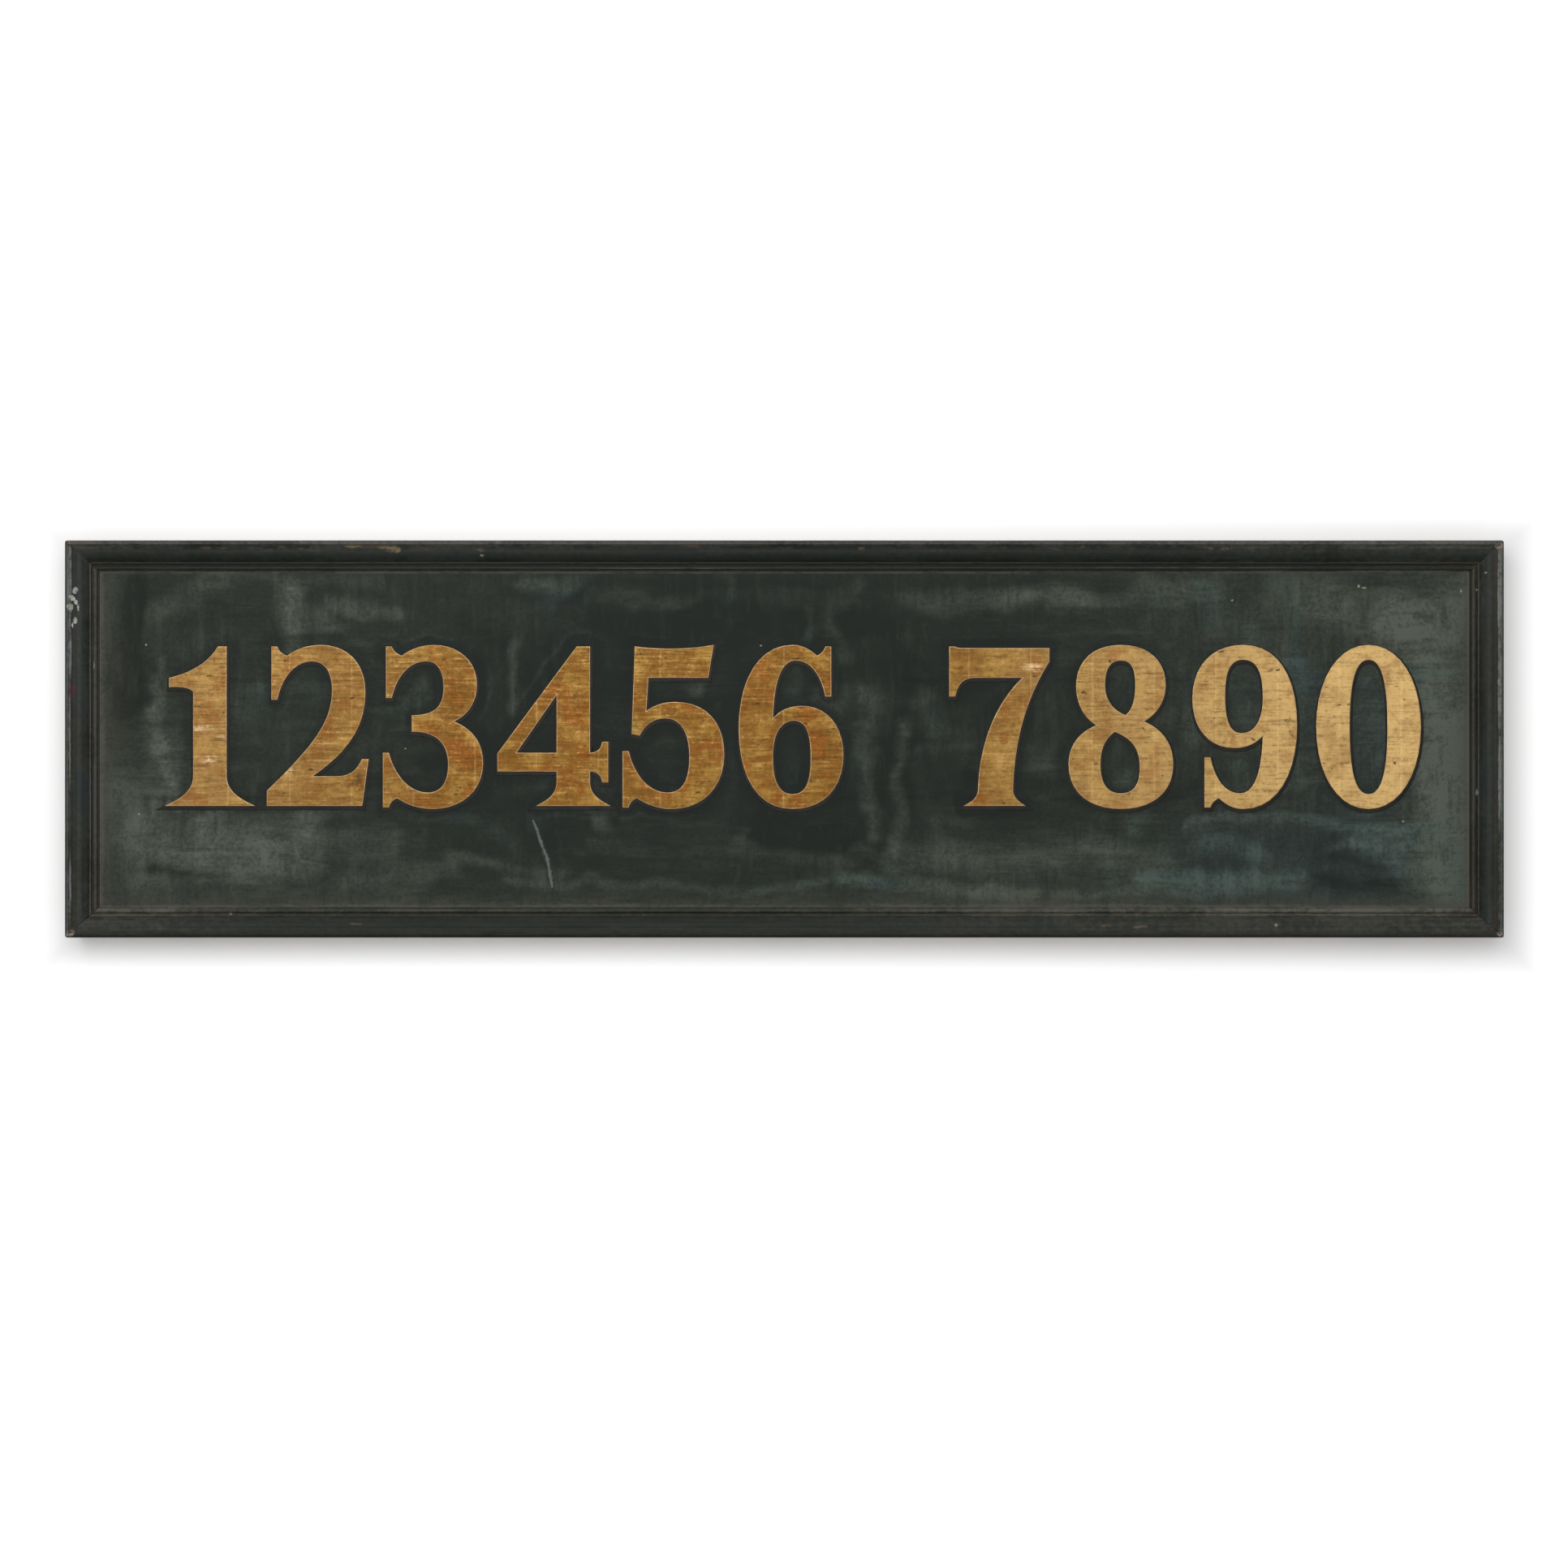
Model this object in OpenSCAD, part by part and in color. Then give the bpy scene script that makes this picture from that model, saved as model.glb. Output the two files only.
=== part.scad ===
// A long wall sign: three tongued boards in a mitred, moulded frame, held flat by battens across
// the back, with two keyhole hangers let into the outer battens.
// X runs along the sign, the front faces -Y, Z is up, and the wall plane is y = 0.

/* [Overall] */
// Length of the sign over its frame
sign_w = 1829; // [1300:1:2400]
// Height of the sign over its frame
sign_h = 505; // [430:1:700]

/* [Frame moulding] */
// Width of the moulding across its face
mould_w = 38; // [35:0.5:44]
// How far the highest edge of the moulding stands in front of the panel
mould_lip = 22; // [18:0.5:26]
// Width of the outer nosing, from the outside to the highest edge
nose_w = 5.5; // [4.6:0.1:7]
// Radius that rounds the nosing to the outside
nose_r = 4.5; // [2:0.1:4.5]
// Radius of the hollow inside the nosing
cove_r = 7; // [5:0.1:8]
// Width of the flat step below the long round
fillet_w = 1.8; // [1:0.1:2.4]
// How far the flat step stands in front of the panel
fillet_h = 4.5; // [3.4:0.1:5.5]
// Width of the groove beside the bead
quirk_w = 1.6; // [1:0.1:2.2]
// Radius of the small bead next to the panel
bead_r = 3.4; // [2.8:0.1:3.6]
// How far the centre of the bead stands in front of the panel
bead_h = 1.8; // [1.2:0.1:2.2]
// Width of the thin foot that the moulding ends in
foot_w = 1.2; // [0.6:0.1:2]
// Thickness of that foot
foot_t = 1.6; // [1:0.1:2.4]
// Width of the rebate that holds the panel
rebate_w = 12; // [9:0.5:14]

/* [Panel] */
// Thickness of the boards
board_t = 16; // [13:0.5:20]
// Room between the panel's edges and the frame
panel_gap = 1; // [0.4:0.1:2]
// Thickness of a tongue
tongue_t = 5; // [4:0.5:6]
// How far a tongue stands out of its board
tongue_l = 6; // [4:0.5:8]
// Room around a tongue in its groove
tongue_gap = 0.15; // [0.1:0.05:0.3]

/* [Battens] */
// Width of a batten
batten_w = 45; // [36:1:60]
// Thickness of a batten
batten_t = 19; // [17:0.5:25]
// Centre of an outer batten, from the end of the sign
batten_in = 150; // [90:1:260]
// How far a batten's ends stop short of the frame's edge
batten_end = 3; // [1:0.5:5]
// Chamfer on the batten's back edges
batten_chamfer = 3; // [1:0.5:4]

/* [Screws and nails] */
// Thickness of a batten screw
screw_d = 4.2; // [3.5:0.1:5]
// Diameter of a batten screw's head
screw_head_d = 8.3; // [7.4:0.1:9]
// Length of a batten screw
screw_l = 30; // [26:0.5:31]
// How far the screw heads sit below the wood
screw_sink = 0.5; // [0.2:0.1:1]
// Spacing of the screws in a board, as a share of its width
screw_spread = 0.27; // [0.265:0.005:0.34]
// Thickness of a corner nail
nail_d = 2.4; // [2:0.1:3]
// Diameter of a corner nail's head
nail_head_d = 4.6; // [4:0.1:5.4]
// Length of a corner nail
nail_l = 45; // [36:1:60]
// How far the first nail of a corner lies in front of the frame's back
nail_back = 8; // [6:0.5:10]
// How far the second nail of a corner lies in front of the frame's back
nail_front = 22; // [18:0.5:24]

/* [Keyhole hangers] */
// Width of a hanger
hanger_w = 20; // [18:0.5:24]
// Length of a hanger
hanger_l = 52; // [50:0.5:54]
// Thickness of a hanger
hanger_t = 2; // [1.6:0.1:2.5]
// Diameter of the keyhole's round end
key_d = 9.5; // [9:0.1:11]
// Width of the keyhole's slot
key_slot = 4.8; // [4.2:0.1:5.4]
// How far the slot runs up from the round end
key_rise = 12; // [10:0.5:13]
// Depth of the pocket behind the keyhole
key_depth = 9; // [7:0.5:10]
// Thickness of a hanger screw
hanger_screw_d = 3; // [2.6:0.1:3.2]
// Diameter of a hanger screw's head
hanger_head_d = 5.8; // [5:0.1:6.2]
// Length of a hanger screw
hanger_screw_l = 14; // [10:0.5:16]

/* [Clearances] */
// Room around screws and nails in their holes
hole_gap = 0.1; // [0.05:0.01:0.2]
// Room around a hanger in its recess
seat_gap = 0.15; // [0.1:0.05:0.3]

/* [Hidden] */
$fn = 96;
half_w = sign_w / 2;
half_h = sign_h / 2;
mould_t = board_t + mould_lip;
rail_back = mould_w - rebate_w;
panel_w = sign_w - 2 * (rail_back + panel_gap);
panel_h = sign_h - 2 * (rail_back + panel_gap);
board_w = panel_h / 3;
bead_u = mould_w - foot_w - bead_r;
fillet_end = bead_u - bead_r - quirk_w;
cove_u = nose_w + cove_r;
ovolo_r = fillet_end - fillet_w - cove_u;
ovolo_v = mould_t - cove_r - ovolo_r;
batten_x = half_w - batten_in;
hanger_z = board_w;
hanger_screw_z = hanger_l / 2 - hanger_w * 0.24;
key_z = -key_rise / 2;
batten_l = sign_h - 2 * batten_end;
pocket_w = key_d + 2;
rail_screw_z = half_h - rail_back / 2;
nail_in = rail_back / 2;
nail_sink = 0.4;
hanger_sink = 0.2;

// The moulding's section: x is measured in from the outside of the frame, y forward from its back.
module moulding_section() {
    difference() {
        union() {
            difference() {
                square([cove_u, mould_t]);
                translate([cove_u, mould_t])
                    circle(cove_r);
                nosing_corner();
            }
            square([cove_u + ovolo_r, max(ovolo_v, board_t)]);
            intersection() {
                translate([cove_u, ovolo_v])
                    circle(ovolo_r);
                translate([cove_u - 0.5, board_t])
                    square([ovolo_r + 2, mould_lip]);
            }
            square([fillet_end, board_t + fillet_h]);
            translate([bead_u, board_t + bead_h])
                circle(bead_r);
            square([mould_w, board_t + foot_t]);
        }
        translate([rail_back, -1])
            square([rebate_w + 1, board_t + 1]);
    }
}

// What the round of the nosing takes off the square corner.
module nosing_corner() {
    difference() {
        translate([-1, mould_t - nose_r])
            square([nose_r + 1, nose_r + 1]);
        translate([nose_r, mould_t - nose_r])
            circle(nose_r);
    }
}

// One side of the frame, lying along X with its outside at z = reach, mitred at both ends.
module frame_side(len, reach) {
    intersection() {
        translate([len / 2 + 1, -batten_t, reach])
            rotate([0, 90, 180])
                linear_extrude(height = len + 2)
                    moulding_section();
        translate([0, -batten_t + 1, 0])
            rotate([90, 0, 0])
                linear_extrude(height = mould_t + 2)
                    polygon([
                        [-len / 2 - 1, reach + 1],
                        [len / 2 + 1, reach + 1],
                        [len / 2 - mould_w - 1, reach - mould_w - 1],
                        [-len / 2 + mould_w + 1, reach - mould_w - 1]
                    ]);
    }
}

// A countersunk wood screw that goes in along -Y from the origin. A gap makes its hole instead.
module wood_screw(d, head_d, len, turn = 0, gap = 0) {
    head_h = (head_d - d) / 2;
    difference() {
        rotate([90, 0, 0])
            rotate_extrude()
                polygon([
                    [0, 0],
                    [head_d / 2 + gap, 0],
                    [head_d / 2 + gap, 0.2],
                    [d / 2 + gap, head_h + 0.2],
                    [d / 2 + gap, len - 2 * d],
                    [0, len + 3 * gap]
                ]);
        if (gap == 0)
            rotate([0, turn, 0])
                cube([head_d + 2, head_h * 0.9, d * 0.24], center = true);
    }
}

// The hole for a wood screw whose head sits a little below y = 0.
module screw_hole(d, head_d, len, sink) {
    translate([0, -sink, 0])
        wood_screw(d, head_d, len, gap = hole_gap);
    translate([0, 1, 0])
        rotate([90, 0, 0])
            cylinder(h = sink + 1.1, d = head_d + 2 * hole_gap);
}

// Heights of the screws in a board. Row is -1, 0 or 1, counted from the bottom board up.
function board_screws(row) = [
    (row - screw_spread) * board_w,
    (row + screw_spread) * board_w
];
rail_screws = [-rail_screw_z, rail_screw_z];
all_screws = concat(rail_screws, board_screws(-1), board_screws(0), board_screws(1));

module batten_screw_holes(heights) {
    for (x = [-batten_x, 0, batten_x])
        for (z = heights)
            translate([x, 0, z])
                screw_hole(screw_d, screw_head_d, screw_l, screw_sink);
}

module batten_screws() {
    color("#8c8a84")
        for (x = [-batten_x, 0, batten_x])
            for (z = all_screws)
                translate([x, -screw_sink, z])
                    wood_screw(screw_d, screw_head_d, screw_l, turn = (x * 0.13 + z * 0.71) % 180);
}

// A flat-headed nail that goes in along -X from the origin. A gap makes its hole instead.
module nail(gap = 0) {
    mouth = gap > 0 ? 2 : 0;
    rotate([0, -90, 0]) {
        translate([0, 0, -mouth])
            cylinder(h = 1 + mouth + gap, d = nail_head_d + 2 * gap);
        cylinder(h = nail_l - 4, d = nail_d + 2 * gap);
        translate([0, 0, nail_l - 4])
            cylinder(h = 4 + 3 * gap, d1 = nail_d + 2 * gap, d2 = 0.4);
    }
}

// Two nails through each mitre, one from the end of the sign and one from its top or bottom.
module nails(gap = 0) {
    for (x = [-1, 1])
        for (z = [-1, 1]) {
            translate([x * (half_w - nail_sink), -batten_t - nail_back, z * (half_h - nail_in)])
                rotate([0, x > 0 ? 0 : 180, 0])
                    nail(gap);
            translate([x * (half_w - nail_in), -batten_t - nail_front, z * (half_h - nail_sink)])
                rotate([0, z > 0 ? -90 : 90, 0])
                    nail(gap);
        }
}

module corner_nails() {
    color("#55524c")
        nails();
}

// A frame side in its place, with the holes for the battens' screws and the corner nails.
module framed(turn, len, reach) {
    color("#2f332e")
        difference() {
            rotate([0, turn, 0])
                frame_side(len, reach);
            nails(hole_gap);
            if (turn % 180 == 0)
                batten_screw_holes(rail_screws);
        }
}

module rail_top() {
    framed(0, sign_w, half_h);
}

module rail_bottom() {
    framed(180, sign_w, half_h);
}

module stile_left() {
    framed(-90, sign_h, half_w);
}

module stile_right() {
    framed(90, sign_h, half_w);
}

// One board of the panel, with a tongue along its top edge and a groove along its bottom one.
module board(row) {
    tongue_y = -batten_t - (board_t + tongue_t) / 2;
    color("#3b3f38")
        difference() {
            union() {
                translate([-panel_w / 2, -batten_t - board_t, (row - 0.5) * board_w])
                    cube([panel_w, board_t, board_w]);
                if (row < 1)
                    translate([-panel_w / 2, tongue_y, (row + 0.5) * board_w - 1])
                        cube([panel_w, tongue_t, tongue_l + 1]);
            }
            if (row > -1)
                translate([-panel_w / 2 - 1, tongue_y - tongue_gap, (row - 0.5) * board_w - 1])
                    cube([panel_w + 2, tongue_t + 2 * tongue_gap, tongue_l + 2 * tongue_gap + 1]);
            batten_screw_holes(board_screws(row));
        }
}

module board_bottom() {
    board(-1);
}

module board_middle() {
    board(0);
}

module board_top() {
    board(1);
}

// A batten with all four back edges chamfered. An outer one is cut out for its hanger.
module batten(x, with_hanger) {
    c = batten_chamfer;
    color("#8a6f4d")
        difference() {
            translate([x, 0, 0])
                intersection() {
                    translate([0, 0, -batten_l / 2])
                        linear_extrude(height = batten_l)
                            polygon([
                                [-batten_w / 2, -batten_t],
                                [batten_w / 2, -batten_t],
                                [batten_w / 2, -c],
                                [batten_w / 2 - c, 0],
                                [c - batten_w / 2, 0],
                                [-batten_w / 2, -c]
                            ]);
                    rotate([90, 0, 90])
                        translate([0, 0, -batten_w / 2 - 1])
                            linear_extrude(height = batten_w + 2)
                                polygon([
                                    [-batten_t - 1, -batten_l / 2 - 1],
                                    [-c - 1, -batten_l / 2 - 1],
                                    [1, -batten_l / 2 + c + 1],
                                    [1, batten_l / 2 - c - 1],
                                    [-c - 1, batten_l / 2 + 1],
                                    [-batten_t - 1, batten_l / 2 + 1]
                                ]);
                }
            batten_screw_holes(all_screws);
            if (with_hanger)
                translate([x, 0, hanger_z])
                    hanger_recess();
        }
}

module batten_left() {
    batten(-batten_x, true);
}

module batten_middle() {
    batten(0, false);
}

module batten_right() {
    batten(batten_x, true);
}

// A slot with round ends, standing up along y from its lower centre.
module round_slot(w, rise) {
    circle(d = w);
    translate([-w / 2, 0])
        square([w, rise]);
    translate([0, rise])
        circle(d = w);
}

// A hanger's outline. Grow makes it larger all round.
module hanger_outline(grow = 0) {
    translate([0, (hanger_w - hanger_l) / 2])
        round_slot(hanger_w + 2 * grow, hanger_l - hanger_w);
}

module hanger_screw_holes() {
    for (z = [-hanger_screw_z, hanger_screw_z])
        translate([0, 0, z])
            screw_hole(hanger_screw_d, hanger_head_d, hanger_screw_l, hanger_sink);
}

// What comes out of a batten for a hanger: its bed, the wall screw's pocket, the pilot holes.
module hanger_recess() {
    translate([0, 1, 0])
        rotate([90, 0, 0])
            linear_extrude(height = hanger_t + 1)
                hanger_outline(seat_gap);
    rotate([90, 0, 0])
        linear_extrude(height = hanger_t + key_depth)
            translate([0, key_z])
                round_slot(pocket_w, key_rise);
    hanger_screw_holes();
}

module keyhole_hanger(x) {
    color("#7d7b76")
        translate([x, 0, hanger_z])
            difference() {
                rotate([90, 0, 0])
                    linear_extrude(height = hanger_t)
                        difference() {
                            hanger_outline();
                            translate([0, key_z])
                                circle(d = key_d);
                            translate([0, key_z])
                                round_slot(key_slot, key_rise);
                        }
                hanger_screw_holes();
            }
}

module keyhole_hanger_left() {
    keyhole_hanger(-batten_x);
}

module keyhole_hanger_right() {
    keyhole_hanger(batten_x);
}

module hanger_screws() {
    color("#8c8a84")
        for (x = [-batten_x, batten_x])
            for (z = [-hanger_screw_z, hanger_screw_z])
                translate([x, -hanger_sink, hanger_z + z])
                    wood_screw(hanger_screw_d, hanger_head_d, hanger_screw_l, turn = x * 0.05 + z * 3);
}

rail_top();
rail_bottom();
stile_left();
stile_right();
board_top();
board_middle();
board_bottom();
batten_left();
batten_middle();
batten_right();
batten_screws();
corner_nails();
keyhole_hanger_left();
keyhole_hanger_right();
hanger_screws();
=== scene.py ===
import math

import bmesh
import bpy
import numpy as np
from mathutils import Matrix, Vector
from mathutils.kdtree import KDTree


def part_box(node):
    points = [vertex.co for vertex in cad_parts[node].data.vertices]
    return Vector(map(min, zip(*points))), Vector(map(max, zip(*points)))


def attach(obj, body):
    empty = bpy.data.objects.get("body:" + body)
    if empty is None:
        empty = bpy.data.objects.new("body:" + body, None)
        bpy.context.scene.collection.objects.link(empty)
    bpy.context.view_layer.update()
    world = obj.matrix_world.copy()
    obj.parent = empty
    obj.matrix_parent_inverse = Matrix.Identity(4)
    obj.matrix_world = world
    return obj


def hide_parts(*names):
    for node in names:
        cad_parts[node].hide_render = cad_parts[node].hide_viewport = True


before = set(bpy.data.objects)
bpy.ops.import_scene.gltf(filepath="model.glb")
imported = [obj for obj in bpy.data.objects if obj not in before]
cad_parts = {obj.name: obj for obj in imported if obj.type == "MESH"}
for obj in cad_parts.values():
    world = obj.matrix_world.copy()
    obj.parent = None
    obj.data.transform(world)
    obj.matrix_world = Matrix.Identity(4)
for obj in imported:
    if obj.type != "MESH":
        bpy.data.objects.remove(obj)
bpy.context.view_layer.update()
print("frame loaded:", len(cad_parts), "nodes")

# Everything is in metres. X runs along the sign, the front faces -Y, Z is up, the wall is y = 0.
signSize = {
    "halfWidth": 0.9145,
    "halfHeight": 0.2525,
    "panelFront": -0.035,
    "frameBack": -0.019,
    "sight": 0.038,
}
sightX, sightZ = (signSize[half] - signSize["sight"] for half in ("halfWidth", "halfHeight"))


def addToScene(name, data):
    holder = bpy.data.objects.new(name, data)
    bpy.context.scene.collection.objects.link(holder)
    return holder


def newObject(name, vertices, faces, material):
    mesh = bpy.data.meshes.new(name)
    mesh.from_pydata([tuple(v) for v in vertices], [], faces)
    mesh.update()
    mesh.materials.append(material)
    return addToScene(name, mesh)


def shadeSmooth(piece, angle):
    piece.data.polygons.foreach_set("use_smooth", [True] * len(piece.data.polygons))
    piece.data.set_sharp_from_angle(angle=math.radians(angle))


def setAttribute(piece, name, values):
    layer = piece.data.attributes.new(name, "FLOAT", "POINT")
    layer.data.foreach_set("value", np.asarray(values, dtype=np.float32).ravel())


# Soft random clouds over a flat field, from -0.5 to 0.5. Size is the width of the largest patch.
def clouds(x, z, size, seed, layers=4):
    maker = np.random.default_rng(seed)
    total, weight, share = np.zeros_like(x), 0.0, 1.0
    for _ in range(layers):
        cells = maker.random((257, 257))
        gx, gz = x / size + 91.7, z / size + 57.3
        ix, iz = np.floor(gx).astype(int), np.floor(gz).astype(int)
        fx, fz = gx - ix, gz - iz
        fx, fz = fx * fx * (3 - 2 * fx), fz * fz * (3 - 2 * fz)
        ix, iz = ix % 256, iz % 256
        low = cells[ix, iz] * (1 - fx) + cells[ix + 1, iz] * fx
        high = cells[ix, iz + 1] * (1 - fx) + cells[ix + 1, iz + 1] * fx
        total += share * (low * (1 - fz) + high * fz)
        weight += share
        share *= 0.55
        size *= 0.47
    return total / weight - 0.5


def smooth(low, high, value):
    t = np.clip((value - low) / (high - low), 0, 1)
    return t * t * (3 - 2 * t)


# Distance from each point to a bent line of points.
def lineDistance(x, z, line):
    best = np.full_like(x, 1e9)
    for (ax, az), (bx, bz) in zip(line[:-1], line[1:]):
        dx, dz = bx - ax, bz - az
        t = np.clip(((x - ax) * dx + (z - az) * dz) / (dx * dx + dz * dz + 1e-12), 0, 1)
        best = np.minimum(best, np.hypot(x - ax - t * dx, z - az - t * dz))
    return best


def emptyTree(owner):
    owner.use_nodes = True
    owner.node_tree.nodes.clear()
    return owner.node_tree


def feed(socket, value):
    if isinstance(value, Shade):
        socket.id_data.links.new(value.socket, socket)
    elif isinstance(value, tuple) and len(value) < len(socket.default_value):
        socket.default_value = (*value, 1)
    else:
        socket.default_value = value


# Adds a node, sets it up, feeds its inputs and hands back one of its outputs.
def addNode(tree, kind, inputs={}, output=0, **settings):
    node = tree.nodes.new(kind)
    for key, value in settings.items():
        setattr(node, key, value)
    for key, value in inputs.items():
        feed(node.inputs[key], value)
    return Shade(node.outputs[output]) if len(node.outputs) else None


# A value inside a shader. Sums, differences and products of such values add the nodes that work them out.
class Shade:
    def __init__(self, socket):
        self.socket = socket

    def maths(self, how, other=0.0):
        return addNode(self.socket.id_data, "ShaderNodeMath", {0: self, 1: other}, operation=how)

    def __add__(self, other):
        return self.maths("ADD", other)

    def __sub__(self, other):
        return self.maths("SUBTRACT", other)

    def __rsub__(self, other):
        return addNode(self.socket.id_data, "ShaderNodeMath", {0: other, 1: self}, operation="SUBTRACT")

    def __mul__(self, other):
        return self.maths("MULTIPLY", other)

    def __abs__(self):
        return self.maths("ABSOLUTE")

    def clamped(self):
        self.socket.node.use_clamp = True
        return self

    # Goes from toLow to toHigh as the value goes from low to high, eased at both ends.
    def span(self, low, high, toLow=0.0, toHigh=1.0):
        ends = {"Value": self, "From Min": low, "From Max": high, "To Min": toLow, "To Max": toHigh}
        return addNode(self.socket.id_data, "ShaderNodeMapRange", ends, interpolation_type="SMOOTHSTEP")

    # Goes from one colour to another as the value goes from 0 to 1.
    def blend(self, start, end):
        return addNode(self.socket.id_data, "ShaderNodeMix", {0: self, 6: start, 7: end}, 2, data_type="RGBA")


# A material whose colour is built up in coats.
class Paint:
    def __init__(self, name):
        self.material = bpy.data.materials.new(name)
        self.tree = emptyTree(self.material)
        self.colour = None

    def add(self, kind, inputs={}, output=0, **settings):
        return addNode(self.tree, kind, inputs, output, **settings)

    def place(self, scale=(1, 1, 1), shift=(0, 0, 0), turn=(0, 0, 0)):
        inputs = {"Vector": self.where(), "Scale": scale, "Location": shift, "Rotation": turn}
        return self.add("ShaderNodeMapping", inputs)

    def where(self):
        return self.add("ShaderNodeTexCoord", output="Object")

    def along(self, axis):
        return self.add("ShaderNodeSeparateXYZ", {0: self.where()}, axis)

    def facing(self, axis):
        normal = self.add("ShaderNodeNewGeometry", output="Normal")
        return self.add("ShaderNodeSeparateXYZ", {0: normal}, axis)

    def painted(self, name):
        return self.add("ShaderNodeAttribute", output="Fac", attribute_name=name)

    def grain(self, size, detail=5.0, rough=0.55, twist=0.0, *placing, **placed):
        inputs = {"Vector": self.place(*placing, **placed), "Scale": 1 / size, "Detail": detail,
                  "Roughness": rough, "Distortion": twist}
        return self.add("ShaderNodeTexNoise", inputs, "Fac")

    # How far a point is from the nearest of some marks, 1 at a mark's own edge. A mark is the x and z of its
    # middle, its half width and its half height, in millimetres.
    def near(self, marks, ragged, raggedSize, stretch=1.0):
        noise = {"Vector": self.place((stretch, 1, 1)), "Scale": 1 / raggedSize, "Detail": 3}
        pull = {0: self.add("ShaderNodeTexNoise", noise, "Color"), 1: (ragged * 2,) * 3, 2: self.where()}
        pulled = self.add("ShaderNodeVectorMath", pull, operation="MULTIPLY_ADD")
        nearest = None
        for mark in marks:
            x, z, wide, high = (v / 1000 for v in mark)
            step = {0: pulled, 1: (1 / wide, 0, 1 / high), 2: (-(x + ragged) / wide, 0, -(z + ragged) / high)}
            step = self.add("ShaderNodeVectorMath", step, operation="MULTIPLY_ADD")
            away = self.add("ShaderNodeVectorMath", {0: step}, "Value", operation="LENGTH")
            nearest = nearest.maths("MINIMUM", away) if nearest else away
        return nearest

    def coat(self, amount, colour):
        self.colour = amount.blend(self.colour, colour)

    # Ends the shader: how rough, glossy and metallic it is, and a relief of some height in metres.
    def finish(self, roughness, gloss, relief=None, height=0.0, metallic=0.0):
        inputs = {"Base Color": self.colour, "Roughness": roughness, "Specular IOR Level": gloss,
                  "Metallic": metallic}
        if relief:
            bump = {"Strength": 1.0, "Distance": height, "Height": relief}
            inputs["Normal"] = self.add("ShaderNodeBump", bump, "Normal")
        surface = self.add("ShaderNodeBsdfPrincipled", inputs, "BSDF")
        self.add("ShaderNodeOutputMaterial", {"Surface": surface})
        return self.material


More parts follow.
